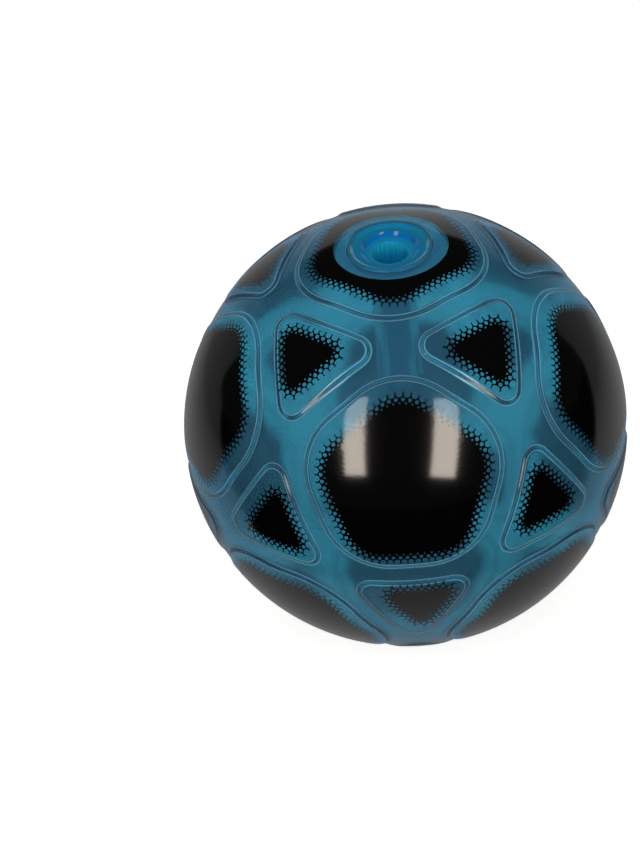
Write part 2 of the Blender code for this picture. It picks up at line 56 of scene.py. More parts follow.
# %% [markdown]
# ## Camera
#
# The ball's outline in the picture is a circle, so its middle and its radius in pixels fix
# where the camera stands once the distance is known. The distance, the height and the roll
# come from the way the panels sit inside that circle. The ball is off the picture's middle,
# so the camera is moved sideways and not turned towards it, as the photographer's was.

# %% Camera
IMAGE_WIDTH, IMAGE_HEIGHT = 640, 853
BALL_MIDDLE_PX = (404.7, 424.8)
BALL_RADIUS_PX = 221.4
VIEW_DISTANCE = 0.978
VIEW_AZIMUTH, VIEW_ELEVATION, VIEW_ROLL = np.radians([4.55, 39.54, 6.87])
SENSOR_MM = 36.0


def node_points(node):
    """All points of a CAD node's mesh, as an array of rows x, y, z."""
    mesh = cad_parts[node].data
    points = np.empty(len(mesh.vertices) * 3, np.float32)
    mesh.vertices.foreach_get("co", points)
    return points.reshape(-1, 3).astype(float)


def unit(vectors):
    """Vectors divided by their own lengths."""
    vectors = np.asarray(vectors, float)
    return vectors / np.linalg.norm(vectors, axis=-1, keepdims=True)


def new_object(name, data):
    """An object that shows its data in the scene."""
    made = bpy.data.objects.new(name, data)
    bpy.context.scene.collection.objects.link(made)
    return made


def aimed(turn, rise, lean):
    """Right, up and back, as rows, of something that faces the ball's centre.

    It stands at a turn from the front and a rise above the level, and leans about its line of
    sight: right = cos(lean) level + sin(lean) upright.
    """
    back = np.array([math.sin(turn) * math.cos(rise), -math.cos(turn) * math.cos(rise), math.sin(rise)])
    level = np.array([math.cos(turn), math.sin(turn), 0.0])
    right = math.cos(lean) * level + math.sin(lean) * np.cross(back, level)
    return np.array([right, np.cross(back, right), back])


BALL_RADIUS = float(np.linalg.norm(node_points("ball_shell"), axis=1).max())
focal_px = BALL_RADIUS_PX / math.tan(math.asin(BALL_RADIUS / VIEW_DISTANCE))
view_axes = aimed(VIEW_AZIMUTH, VIEW_ELEVATION, -VIEW_ROLL)
to_ball = VIEW_DISTANCE * unit([(BALL_MIDDLE_PX[0] - IMAGE_WIDTH / 2) / focal_px,
                                (IMAGE_HEIGHT / 2 - BALL_MIDDLE_PX[1]) / focal_px, -1.0])
camera_place = -view_axes.T @ to_ball

camera = new_object("camera", bpy.data.cameras.new("camera"))
camera.data.sensor_width = SENSOR_MM
camera.data.lens = focal_px * SENSOR_MM / IMAGE_HEIGHT
camera.matrix_world = Matrix.Translation(camera_place) @ Matrix(view_axes.T.tolist()).to_4x4()
bpy.context.scene.camera = camera
bpy.context.scene.view_settings.view_transform = "Standard"
print(f"camera: {camera.data.lens:.1f} mm lens, {VIEW_DISTANCE:.3f} m from the ball's centre")

# %% [markdown]
# ## From arrays to meshes
#
# Every new piece is a surface worked out with numpy, a grid of points that two parameters
# run over. Patches are joined and welded, so that shared edges become one edge and smooth
# shading runs across them. A grid that closes on a pole repeats that point in each column,
# and the weld turns the faces there into triangles.

# %% Mesh helpers
WELD = 1e-7
SHARP_ANGLE = math.radians(35)


def grid_faces(rows, columns, closed=True):
    """Corner numbers of the faces of a grid of points, with the last column joined to the first."""
    numbers = np.arange(rows * columns).reshape(rows, columns)
    if closed:
        numbers = np.column_stack([numbers, numbers[:, 0]])
    corners = [numbers[:-1, :-1], numbers[1:, :-1], numbers[1:, 1:], numbers[:-1, 1:]]
    return np.stack(corners, -1).reshape(-1, 4)


def around(reach, turn, height):
    """Points at a reach from the Z axis, a turn about it and a height."""
    return np.stack(np.broadcast_arrays(reach * np.cos(turn), reach * np.sin(turn), height), -1)


def join(patches):
    """One (points, faces) pair from many, with the face numbers moved up to suit."""
    starts = np.cumsum([0] + [len(points) for points, _ in patches])
    points = np.concatenate([points for points, _ in patches])
    return points, np.concatenate([faces + start for (_, faces), start in zip(patches, starts)])


def add_piece(name, patches, finish, body, slot, *replaced):
    """Weld patches into a mesh that rides on a body and stands for the CAD nodes it replaces.

    Points that agree to within WELD become one. A corner that repeats the one before it is
    left out, and a face left with fewer than three corners is dropped.
    """
    points, faces = join(patches)
    keys = np.round(points / WELD).astype(np.int64)
    _, first, number = np.unique(keys, axis=0, return_index=True, return_inverse=True)
    points, faces = points[first], number.ravel()[faces]
    kept = faces != np.roll(faces, 1, axis=1)
    faces, kept = faces[kept.sum(1) > 2], kept[kept.sum(1) > 2]
    starts = np.concatenate([[0], np.cumsum(kept.sum(1))[:-1]])
    mesh = bpy.data.meshes.new(name)
    mesh.vertices.add(len(points))
    mesh.vertices.foreach_set("co", points.astype(np.float32).ravel())
    mesh.loops.add(int(kept.sum()))
    mesh.loops.foreach_set("vertex_index", faces[kept].astype(np.int32))
    mesh.polygons.add(len(faces))
    mesh.polygons.foreach_set("loop_start", starts.astype(np.int32))
    mesh.update(calc_edges=True)
    mesh.shade_smooth()
    mesh.set_sharp_from_angle(angle=SHARP_ANGLE)
    mesh.materials.append(finish)
    piece = new_object(name, mesh)
    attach(piece, body)
    if replaced:
        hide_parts(*replaced)
    print(f"{name}: {int((kept.sum(1) - 2).sum())} triangles")
    return piece


# %% [markdown]
# ## Materials
#
# Colours are written as sRGB hex values, the way a colour picker shows them, and one function
# turns them to the linear values that Blender works in. One helper adds a node: a value goes
# into a socket, and another node's output is linked to it.

# %% Material helpers
def linear(hex_colour):
    """sRGB hex to linear red, green, blue and alpha, by the standard curve of the sRGB space."""
    parts = np.array([int(hex_colour[k:k + 2], 16) for k in (1, 3, 5)]) / 255
    parts = np.where(parts <= 0.04045, parts / 12.92, ((parts + 0.055) / 1.055) ** 2.4)
    return (*parts.tolist(), 1.0)


def add_node(tree, kind, inputs=None, **settings):
    """A shader node of one kind, with its settings, socket values and links."""
    node = tree.nodes.new("ShaderNode" + kind)
    for name, value in settings.items():
        setattr(node, name, value)
    for name, value in (inputs or {}).items():
        if isinstance(value, bpy.types.NodeSocket):
            tree.links.new(value, node.inputs[name])
        else:
            node.inputs[name].default_value = value
    return node


def new_finish(name, **sockets):
    """A material with a Principled shader, its tree and its Object coordinates."""
    material = bpy.data.materials.new(name)
    material.use_nodes = True
    tree = material.node_tree
    shader = tree.nodes["Principled BSDF"]
    for socket, value in sockets.items():
        shader.inputs[socket.replace("_", " ")].default_value = value
    place = add_node(tree, "TexCoord").outputs["Object"]
    return material, tree, shader, place


def dress(tree, shader, colour, relief, height):
    """Give a shader its colour, and a skin that stands out by the height where the relief is 1."""
    skin = add_node(tree, "Bump", {"Height": relief, "Strength": 1.0, "Distance": height})
    tree.links.new(colour, shader.inputs["Base Color"])
    tree.links.new(skin.outputs["Normal"], shader.inputs["Normal"])


def per_metre(size_mm):
    """Texture scale that repeats once in a length given in millimetres."""
    return 1000 / size_mm


# %% [markdown]
# ## See-through PVC
#
# The shell is plasticised PVC, tinted blue and moulded against a polished mould. Its skin is
# glossy, so it carries a clear coat, while the body below it scatters: light goes through, and
# what lies behind shows as a soft shadow. The tint is not quite even, and the skin has a faint
# waviness a few millimetres long that makes reflections swim. Where the wall steps up to a
# panel it bends light aside, which shows as navy bands between fine pale lines. These are
# painted on as colour, navy painted shade and pale painted highlights, laid by a point's height
# above the channels, and the plastic is made hazier under them. The inner wall has a tint of
# its own.

# %% Shell finish
CHANNEL_DEPTH, SHELL_WALL = 0.9 * MM, 2.7 * MM
TINT_PATCH_MM = 34.0
SKIN_WAVE_MM = 9.0
SKIN_WAVE_HEIGHT = 0.012 * MM
HAZE = 0.4
INNER_CLEAR = 0.97
GLOSS, GLOSS_ROUGHNESS = 0.2, 0.05
PVC_ROUGHNESS, PVC_IOR, PVC_SPECULAR, PVC_SPECULAR_TINT = 0.1, 1.52, 0.4, "#cfe4f0"
SHELL_CLEAR = 0.77
# Painted light on the step ramps: the navy stops are painted shade and the pale stops are painted
# highlights.
STEP_PAINTED_LIGHT = [(0.0, "#0a3c70", 0.0), (0.02, "#0a3c70", 0.35), (0.05, "#a8e0f4", 0.7),
              (0.12, "#98d4ec", 0.4), (0.2, "#083064", 0.6), (0.5, "#0a3c70", 0.25),
              (0.66, "#083064", 0.75), (0.78, "#0a3c70", 0.5), (0.85, "#b8e8f8", 0.85),
              (0.91, "#98d4ec", 0.4), (0.95, "#58acd8", 0.0)]


def risen(tree, place, low, high):
    """How far a point has risen from one distance from the ball's centre, 0, to another, 1."""
    reach = add_node(tree, "VectorMath", {0: place}, operation="LENGTH")
    return add_node(tree, "MapRange", {
        "Value": reach.outputs["Value"], "From Min": low, "From Max": high}).outputs[0]


def height_share(tree, place):
    """How far a point has risen from the channels, 0, to the panels' faces, 1."""
    return risen(tree, place, BALL_RADIUS - CHANNEL_DEPTH, BALL_RADIUS)


def pvc_finish(name, deep, pale, transmission, share, stops, inner=None):
    """Tinted PVC: the colour drifts between two blues, and the skin swells and sinks slightly.

    Stops lay painted light and shade over that, from a share of 0 to a share of 1: the bright
    lines and dark bands that light makes, painted in as colour. Each stop is a share, a colour
    and a weight, and the plastic grows hazier with the weight. With an inner tint, the shell's
    inner wall takes that tint and is all but clear, so the outer skin scatters alone.
    """
    material, tree, shader, place = new_finish(
        name, Roughness=PVC_ROUGHNESS, IOR=PVC_IOR, Coat_Weight=GLOSS, Coat_Roughness=GLOSS_ROUGHNESS,
        Specular_IOR_Level=PVC_SPECULAR, Specular_Tint=linear(PVC_SPECULAR_TINT))
    drift = add_node(tree, "TexNoise", {"Vector": place, "Scale": per_metre(TINT_PATCH_MM)})
    tint = add_node(tree, "Mix", {
        "Factor": drift.outputs["Fac"], "A": linear(deep), "B": linear(pale)}, data_type="RGBA")
    band = add_node(tree, "ValToRGB", {"Fac": share(tree, place)})
    elements = band.color_ramp.elements
    elements.remove(elements[1])
    for position, colour, weight in stops:
        element = elements[0] if position == stops[0][0] else elements.new(position)
        element.position = position
        element.color = (*linear(colour)[:3], weight)
    laid = add_node(tree, "Mix", {
        "Factor": band.outputs["Alpha"], "A": tint.outputs["Result"], "B": band.outputs["Color"]},
        data_type="RGBA")
    colour = laid.outputs["Result"]
    clear = add_node(tree, "Math", {
        0: band.outputs["Alpha"], 1: -HAZE, 2: transmission}, operation="MULTIPLY_ADD").outputs[0]
    if inner:
        outside = risen(tree, place, BALL_RADIUS - SHELL_WALL, BALL_RADIUS - CHANNEL_DEPTH)
        colour = add_node(tree, "Mix", {
            "Factor": outside, "A": linear(inner), "B": colour}, data_type="RGBA").outputs["Result"]
        clear = add_node(tree, "MapRange", {
            "Value": outside, "To Min": INNER_CLEAR, "To Max": clear}).outputs[0]
    tree.links.new(clear, shader.inputs["Transmission Weight"])
    wave = add_node(tree, "TexNoise", {
        "Vector": place, "Scale": per_metre(SKIN_WAVE_MM), "Detail": 1.0})
    dress(tree, shader, colour, wave.outputs["Fac"], SKIN_WAVE_HEIGHT)
    return material


shell_pvc = pvc_finish("blue see-through pvc", "#4e9ed2", "#5eadd8", SHELL_CLEAR, height_share,
                       STEP_PAINTED_LIGHT, "#84d2c2")
print("shell finish:", shell_pvc.name)

# %% [markdown]
# ## Where the panels lie
#
# The ball follows an old solid, the icosidodecahedron: twelve five-sided panels sit on the
# corners of an icosahedron, and twenty three-sided ones on its faces. Neighbouring panels
# share great-circle edges. A point on a panel is given by its reach, the distance along the
# surface from the panel's middle, and its turn about that middle.

# %% Panel layout
PORT_PANEL, FOOT_PANEL, VALVE_PANEL = 0, 6, 7
RING_POLAR = math.atan(2)

ring_turns = np.radians(-90 + 72 * np.arange(5))
ring = around(math.sin(RING_POLAR), ring_turns, math.cos(RING_POLAR))
upper_corners = np.vstack([[0.0, 0.0, 1.0], ring])
solid_corners = np.vstack([upper_corners, -upper_corners])
touching = np.isclose(solid_corners @ solid_corners.T, math.cos(RING_POLAR))


def panel(centre, corners):
    """A panel's middle, the two directions that span it, and its corners in order of turn.

    The first direction points at a corner, and the second is at a right angle to it.
    """
    centre = unit(centre)
    across = unit(corners[0] - (corners[0] @ centre) * centre)
    along = np.cross(centre, across)
    order = np.argsort(np.arctan2(corners @ along, corners @ across) % math.tau)
    return centre, across, along, corners[order]


panels = [panel(corner, unit(corner + solid_corners[touching[k]]))
          for k, corner in enumerate(solid_corners)]
for trio in itertools.combinations(range(len(solid_corners)), 3):
    # Three corners make a face if each of them touches the other two.
    if touching[np.ix_(trio, trio)].sum() == 6:
        three = solid_corners[list(trio)]
        panels.append(panel(three.sum(0), unit(three + np.roll(three, 1, axis=0))))


def outline_reach(turns, sides, apothem, corner):
    """Distance from the middle to a rounded polygon, at each turn, with a corner at turn 0.

    Near an edge's middle it is apothem / cos(angle from that middle). Past the end of the
    straight stretch it is the far crossing of the ray with the corner's circle.
    """
    half = math.pi / sides
    fold = np.abs(turns % (2 * half) - half)
    straight_end = math.atan2((apothem - corner) * math.tan(half), apothem)
    middle = (apothem - corner) / math.cos(half)
    round_part = middle * np.cos(half - fold) + np.sqrt(
        np.maximum(corner**2 - (middle * np.sin(half - fold))**2, 0))
    return np.where(fold <= straight_end, apothem / np.cos(fold), round_part)


def on_ball(place, reach, turn, radius):
    """Points at a reach and a turn about a panel's middle, at a distance from the ball's centre.

    The reach is laid off along a great circle: direction = cos(a) middle + sin(a) (cos(turn)
    across + sin(turn) along), with a = reach / ball radius.
    """
    centre, across, along, _ = place
    angle = (reach / BALL_RADIUS)[..., None]
    sideways = np.cos(turn)[..., None] * across + np.sin(turn)[..., None] * along
    return np.asarray(radius)[..., None] * (np.cos(angle) * centre + np.sin(angle) * sideways)


print("panels:", sum(len(p[3]) == 5 for p in panels), "large and",
      sum(len(p[3]) == 3 for p in panels), "small")

# %% [markdown]
# ## Moulded shell
#
# Each panel stands 0.9 mm above the channels round it, on a ramp 4.4 mm wide that is eased
# nearly all the way, so that its two bends are soft. A boolean or a bevel would leave the ramp
# faceted, so it is drawn as rings of points: every ring keeps a fixed distance from the panel's
# rounded outline, and its height follows the eased ramp. The rings end on the great-circle
# edge, where the next panel takes over with the very same points.

# %% Shell surface
STEP_WIDTH = 4.4 * MM
STEP_EASE = 0.45
LARGE_INSET, LARGE_CORNER = 7.5 * MM, 32.0 * MM
SMALL_INSET, SMALL_CORNER = 3.2 * MM, 7.0 * MM
PORT_HOLE, VALVE_HOLE = 20.3 * MM, 4.8 * MM
HOLE_EASE = 0.5 * MM
CONTACT_RADIUS = 14.0 * MM
EDGE_POINTS, FACE_RINGS, EASE_RINGS, FLOOR_RINGS, INNER_RINGS = 24, 8, 8, 3, 6

inner_radius = BALL_RADIUS - SHELL_WALL


def eased_ramp(share, ease):
    """Rise from 0 to 1 along a straight ramp whose first and last stretches are arcs.

    With s the share left to the nearer end, the height above that end is s^2 / (2 e (1 - e))
    within the eased stretch e, and (s - e / 2) / (1 - e) beyond it.
    """
    left = np.minimum(share, 1 - share)
    height = np.where(left < ease, left**2 / (2 * ease * (1 - ease)), (left - ease / 2) / (1 - ease))
    return np.where(share < 0.5, height, 1 - height)


ease_shares = np.linspace(0, STEP_EASE, EASE_RINGS)
step_shares = np.concatenate([ease_shares, [0.5], 1 - ease_shares[::-1]])


def panel_edge(place):
    """Turn and reach of points spread evenly along a panel's great-circle edges."""
    centre, across, along, corners = place
    start, end = corners, np.roll(corners, -1, axis=0)
    span = np.arccos((start * end).sum(1))[:, None, None]
    share = (np.arange(EDGE_POINTS) / EDGE_POINTS)[None, :, None]
    points = (np.sin((1 - share) * span) * start[:, None]
              + np.sin(share * span) * end[:, None]) / np.sin(span)
    points = points.reshape(-1, 3)
    return np.arctan2(points @ along, points @ across), BALL_RADIUS * np.arccos(points @ centre)


def edge_apothem(place):
    """Reach from a panel's middle to the middle of its great-circle edge."""
    centre, _, _, corners = place
    return BALL_RADIUS * math.asin(abs(unit(np.cross(corners[0], corners[1])) @ centre))


def panel_shape(place):
    """Number of sides, apothem and corner radius of the outline that a panel's step follows."""
    sides = len(place[3])
    inset, corner = (LARGE_INSET, LARGE_CORNER) if sides == 5 else (SMALL_INSET, SMALL_CORNER)
    return sides, edge_apothem(place) - inset, corner


def flattened(radius, reach, flat):
    """Distance from the centre of a sphere whose cap of a given radius is cut flat."""
    level = math.sqrt(BALL_RADIUS**2 - flat**2)
    return np.minimum(radius, level / np.cos(np.minimum(reach / BALL_RADIUS, 1.0)))


def shell_patches(place, hole=0.0, flat=0.0):
    """Outer and inner grid of one panel, from its middle or its hole to its edge.

    The outer radius is the ball's on the panel's face, drops by the eased ramp across the
    step, and stays at the channel's depth from there to the edge.
    """
    sides, apothem, corner = panel_shape(place)
    turn, edge = panel_edge(place)
    offsets = STEP_WIDTH * (step_shares - 0.5)
    step = np.array([outline_reach(turn, sides, apothem + s, corner + s) for s in offsets])
    face_share = np.linspace(0, 1, FACE_RINGS + 1)[:-1, None]
    face = hole + face_share * (step[0] - hole)
    floor = step[-1] + np.linspace(0, 1, FLOOR_RINGS + 1)[1:, None] * (edge - step[-1])
    reach = np.concatenate([face, step, floor])
    sunk = np.concatenate([np.zeros(FACE_RINGS), eased_ramp(step_shares, STEP_EASE),
                           np.ones(FLOOR_RINGS)])
    radius = flattened(BALL_RADIUS - CHANNEL_DEPTH * sunk[:, None] + 0 * reach, reach, flat)
    inner_reach = hole + np.linspace(0, 1, INNER_RINGS + 1)[:, None] * (edge - hole)
    if hole:
        eased = np.array([[hole], [hole], [hole + HOLE_EASE / 4]]) + 0 * edge
        depth = np.array([[SHELL_WALL], [HOLE_EASE], [HOLE_EASE / 4]]) + 0 * edge
        reach = np.concatenate([eased, np.maximum(reach, hole + HOLE_EASE)])
        radius = np.concatenate([BALL_RADIUS - depth, radius])
    turns = np.broadcast_to(turn, reach.shape)
    outer = on_ball(place, reach, turns, radius)
    inner = on_ball(place, inner_reach, turns[:len(inner_reach)],
                    np.full(inner_reach.shape, inner_radius))
    return [(outer.reshape(-1, 3), grid_faces(*reach.shape)),
            (inner.reshape(-1, 3), grid_faces(*inner_reach.shape)[:, ::-1])]


middles = {PORT_PANEL: {"hole": BALL_RADIUS * math.asin(PORT_HOLE / BALL_RADIUS)},
           VALVE_PANEL: {"hole": BALL_RADIUS * math.asin(VALVE_HOLE / BALL_RADIUS)},
           FOOT_PANEL: {"flat": CONTACT_RADIUS}}
shell_grid = [patch for k, place in enumerate(panels)
              for patch in shell_patches(place, **middles.get(k, {}))]
add_piece("moulded_shell", shell_grid, shell_pvc, "ball", "shell_pvc", "ball_shell")

# %% [markdown]
# ## Printing ink
#
# The panels are printed with a thick, nearly black gloss ink. It is smoother than the plastic
# and reflects like lacquer, so it is a dark dielectric with a low roughness. A trace of blue
# and a faint unevenness in the film keep it from looking like a hole in the picture.

# %% Ink finish
INK_WAVE_MM = 6.0
INK_WAVE_HEIGHT = 0.012 * MM
INK_FLECK_MM = 0.8

gloss_ink, ink_tree, ink_shader, ink_place = new_finish(
    "gloss black printing ink", Roughness=0.1, IOR=1.5, Coat_Weight=1.0, Coat_Roughness=0.1)
ink_wave = add_node(ink_tree, "TexNoise", {"Vector": ink_place, "Scale": per_metre(INK_WAVE_MM)})
ink_fleck = add_node(ink_tree, "TexNoise", {"Vector": ink_place, "Scale": per_metre(INK_FLECK_MM)})
ink_tint = add_node(ink_tree, "Mix", {
    "Factor": ink_fleck.outputs["Fac"], "A": linear("#030304"), "B": linear("#070709")},
    data_type="RGBA")
dress(ink_tree, ink_shader, ink_tint.outputs["Result"], ink_wave.outputs["Fac"], INK_WAVE_HEIGHT)
print("ink:", gloss_ink.name)

# %% [markdown]
# ## Print that breaks up into a honeycomb
#
# At its edge the ink breaks up through three rows of round holes that grow outwards, the last
# of them so large that only forked struts are left between them. An image would do this on
# one panel, but here it is geometry, crisp from any distance. The rows follow the print's
# rounded outline: one parameter runs along it and the other away from it. Around each hole
# lies a cell, the region nearer to it than to its neighbours, and the ink is what lies
# between the hole's circle and the cell's border.

# %% Honeycomb print
INK_LIFT = 0.04 * MM
CELL_PITCH = 3.25 * MM
ROW_HEIGHTS = np.array([-1.7, 0.0, 2.3]) * MM
ROW_HOLES = np.array([0.45, 0.95, 1.38]) * MM
ROW_BELOW = np.array([1.7, 1.7, 2.3]) * MM
ROW_ABOVE = np.array([1.7, 2.3, 2.5]) * MM
OUTWARD_GROWTH, GROWTH_POWER = np.array([0.0, 0.0, 0.23]), 6
LARGE_PRINT, LARGE_PRINT_CORNER = 35.3 * MM, 17.5 * MM
SMALL_PRINT, SMALL_PRINT_CORNER = 11.2 * MM, 5.2 * MM
SIDE_POINTS = 4
MIDDLE_RINGS = {5: 12, 3: 4}
TINY, NEAR_TOP = 1e-9, 0.999
BARE_PORT, BARE_VALVE = 27.2 * MM, 5.8 * MM
PRINT_SHIFTS_MM = {0: (0.5, 2.0), 1: (0.4, -2.8), 2: (0.6, -2.8), 5: (-2.3, -0.5), 12: (0.5, -2.3),
                   13: (-3.4, -0.3), 17: (-0.6, 1.7), 18: (2.9, -0.4), 19: (3.0, 2.4)}


def outline_point(along, out, sides, apothem, corner):
    """Point x, y at a distance along a rounded polygon and a distance out from it.

    One side is half a corner's arc, a straight stretch and half the next arc. The normal's
    angle grows with the arcs, the arc's centre moves along the straight stretch, and the
    point is that centre plus (corner + out) times the normal.
    """
    half = math.pi / sides
    half_arc, straight = corner * half, 2 * (apothem - corner) * math.tan(half)
    side, walked = np.divmod(along, 2 * half_arc + straight)
    angle = np.minimum(walked, half_arc) / corner + np.maximum(walked - half_arc - straight, 0) / corner
    passed = np.clip((walked - half_arc) / straight, 0, 1)
    middle = (apothem - corner) / math.cos(half)
    first = np.array([middle, 0.0])
    second = middle * np.array([math.cos(2 * half), math.sin(2 * half)])
    centre = first + passed[..., None] * (second - first)
    flat = centre + (corner + out)[..., None] * np.stack([np.cos(angle), np.sin(angle)], -1)
    cos, sin = np.cos(2 * half * side), np.sin(2 * half * side)
    x, y = flat[..., 0], flat[..., 1]
    return np.stack([cos * x - sin * y, sin * x + cos * y], -1)


def cell_border(row, pitch):
    """Directions and distances of points on a cell's border, seen from its hole.

    The border is the nearest of the lines half way to the six neighbours: distance =
    (length^2 / 2) / (neighbour . direction). Its corners are at the ends of the side walls
    and straight up and down, and each side between two corners has SIDE_POINTS points.
    """
    above, below = ROW_ABOVE[row], ROW_BELOW[row]
    wall_top = math.atan2(above / 2 - pitch**2 / (8 * above), pitch / 2)
    wall_foot = math.atan2(below / 2 - pitch**2 / (8 * below), pitch / 2)
    corners = np.array([-math.pi - wall_top, -math.pi + wall_foot, -math.pi / 2, -wall_foot,
                        wall_top, math.pi / 2, math.pi - wall_top])
    angles = np.interp(np.arange(6 * SIDE_POINTS) / SIDE_POINTS, np.arange(7), corners)
    neighbours = np.array([[pitch, 0], [-pitch, 0], [pitch / 2, above], [-pitch / 2, above],
                           [pitch / 2, -below], [-pitch / 2, -below]])
    facing = neighbours @ np.stack([np.cos(angles), np.sin(angles)])
    lengths = (neighbours**2).sum(1)[:, None] / 2
    return angles, np.where(facing > TINY, lengths / np.maximum(facing, TINY), np.inf).min(0)


def print_patches(sides, apothem, corner, bare=0.0, slip=(0.0, 0.0)):
    """Flat x, y points and faces of one print: three rows of holed cells and the plain middle."""
    perimeter = sides * (2 * (apothem - corner) * math.tan(math.pi / sides)) + math.tau * corner
    cells = round(perimeter / CELL_PITCH)
    pitch = perimeter / cells
    patches = []
    for row, height in enumerate(ROW_HEIGHTS):
        angles, border = cell_border(row, pitch)
        swell = OUTWARD_GROWTH[row] * np.maximum(np.sin(angles), 0) ** GROWTH_POWER
        hole = np.minimum(ROW_HOLES[row] / (1 - swell), border)
        middle = pitch * (np.arange(cells) + 0.5 * (row % 2))
        spokes = np.stack([hole, border])[:, None, :]
        along = middle[None, :, None] + spokes * np.cos(angles)
        out = height + spokes * np.sin(angles) + 0 * along
        points = outline_point(along % perimeter, out, sides, apothem, corner) + slip
        numbers = np.arange(2 * cells * len(angles)).reshape(2, cells, len(angles))
        after = np.roll(numbers, -1, axis=2)
        inked = border - hole > WELD
        drawn = np.broadcast_to(inked | np.roll(inked, -1), (cells, len(angles)))
        faces = np.stack([numbers[0], numbers[1], after[1], after[0]], -1)[drawn]
        patches.append((points.reshape(-1, 2), faces))
        if row == 0:
            foot = points[1][:, SIDE_POINTS:3 * SIDE_POINTS].reshape(-1, 2)
    shares = np.linspace(0, 1, MIDDLE_RINGS[sides] + 1)[:, None, None]
    inside = slip + bare * unit(foot - slip)
    middle_grid = inside + shares * (foot - inside)
    patches.append((middle_grid.reshape(-1, 2), grid_faces(*middle_grid.shape[:2])))
    return patches


def sunk_share(place, reach, turn):
    """How far the shell has dropped from a panel's face, 0, to the channel, 1, at points on it.

    The distance out from the panel's outline is measured from its straight side, or from the
    corner's circle beyond the end of that side, and goes through the eased ramp.
    """
    sides, apothem, corner = panel_shape(place)
    straight = apothem - corner
    half = math.pi / sides
    fold = np.abs(turn % (2 * half) - half)
    past_side = np.maximum(reach * np.sin(fold) - straight * math.tan(half), 0)
    out = np.hypot(np.maximum(reach * np.cos(fold) - straight, 0), past_side) - corner
    return eased_ramp(np.clip(out / STEP_WIDTH + 0.5, 0, 1), STEP_EASE)


def wrapped(place, patches, flat):
    """Flat print laid on a panel: x, y become reach and turn, just above the shell."""
    laid = []
    for points, faces in patches:
        reach, turn = np.hypot(points[:, 0], points[:, 1]), np.arctan2(points[:, 1], points[:, 0])
        face = BALL_RADIUS - CHANNEL_DEPTH * sunk_share(place, reach, turn)
        laid.append((on_ball(place, reach, turn, flattened(face, reach, flat) + INK_LIFT), faces))
    return laid


def print_shift(number, place):
    """How far a print is off its panel's middle, from right and up to the panel's own x, y.

    Right is level, as seen from outside, and up is at a right angle to it. On the panel at
    the very top, right is +X and up is +Y.
    """
    centre, across, along, _ = place
    right = unit(np.cross([0, 0, 1], centre)) if abs(centre[2]) < NEAR_TOP else np.array([1.0, 0, 0])
    side, rise = np.array(PRINT_SHIFTS_MM.get(number, (0.0, 0.0))) * MM
    move = side * right + rise * np.cross(centre, right)
    return np.array([move @ across, move @ along])


bare_discs = {PORT_PANEL: BARE_PORT, VALVE_PANEL: BARE_VALVE}
prints = {"upper_large_prints": [], "lower_large_prints": [], "small_panel_prints": []}
for number, place in enumerate(panels):
    sides = len(place[3])
    size = (LARGE_PRINT, LARGE_PRINT_CORNER) if sides == 5 else (SMALL_PRINT, SMALL_PRINT_CORNER)
    flat_print = print_patches(sides, *size, bare_discs.get(number, 0.0), print_shift(number, place))
    large_group = "upper_large_prints" if number < len(upper_corners) else "lower_large_prints"
    group = large_group if sides == 5 else "small_panel_prints"
    prints[group] += wrapped(place, flat_print, CONTACT_RADIUS if number == FOOT_PANEL else 0.0)
for name, patches in prints.items():
    add_piece(name, patches, gloss_ink, "ball", "shell_pvc")

# %% [markdown]
# ## Port well
#
# The port is a separate moulding welded into the shell: a thin rim, a shallow bowl, a ledge
# where a plug would seat, and a deep bore with upright ribs that hold the capsule. Everything
# on it is round, so it is a profile carried about the axis, and the ribs are a wave added to
# the radius.

# %% Port well surface
well_low, well_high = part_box("port_well")
RIM_Z = well_high.z
WELL_END_Z = well_low.z
FLANGE_RADIUS = well_high.x
RIM_RADIUS, RIM_WIDTH, RIM_EASE = 20.0 * MM, 1.4 * MM, 0.06 * MM
LEDGE_RADIUS, LEDGE_WIDTH, LEDGE_DEPTH = 13.8 * MM, 0.8 * MM, 1.5 * MM
BORE_RADIUS, BOWL_DEPTH = 8.9 * MM, 4.0 * MM
RIB_COUNT, RIB_HEIGHT, RIB_LEAD = 24, 0.5 * MM, 1.2 * MM
WELL_WALL, FLANGE_THICKNESS, FIT_GAP = 1.8 * MM, 1.6 * MM, 0.3 * MM
RIB_POINTS, FLANGE_POINTS = 10, 7
RIM_WALL, BOWL_WALL, BORE_EASE = (math.radians(40), 0.85), (math.radians(53), 0.85), 0.5 * MM
# The well is one plastic, and its colour is painted by depth: a painted glow of light in the bore,
# painted shade in a deeper blue across the bowl below the ledge, and paler towards the rim.
PAINTED_LIGHT_DEPTH = 12.0 * MM
WELL_CLEAR = 0.75
WELL_PAINTED_LIGHT = [(0.0, "#10bcf4", 0.8), (0.55, "#30e4ff", 0.9), (0.65, "#14c4ff", 0.9),
              (0.7, "#0888dc", 0.9), (0.85, "#0890dc", 0.8), (0.89, "#10b4ec", 0.7),
              (0.97, "#28b4e0", 0.6), (1.0, "#49aed0", 0.4)]


def arc(centre, radii, start, end, steps=6):
    """Points on an ellipse in the plane of radius and height, angles in degrees."""
    turns = np.radians(np.linspace(start, end, steps + 1))
    return np.asarray(centre) + np.stack([radii[0] * np.cos(turns), radii[1] * np.sin(turns)], 1)


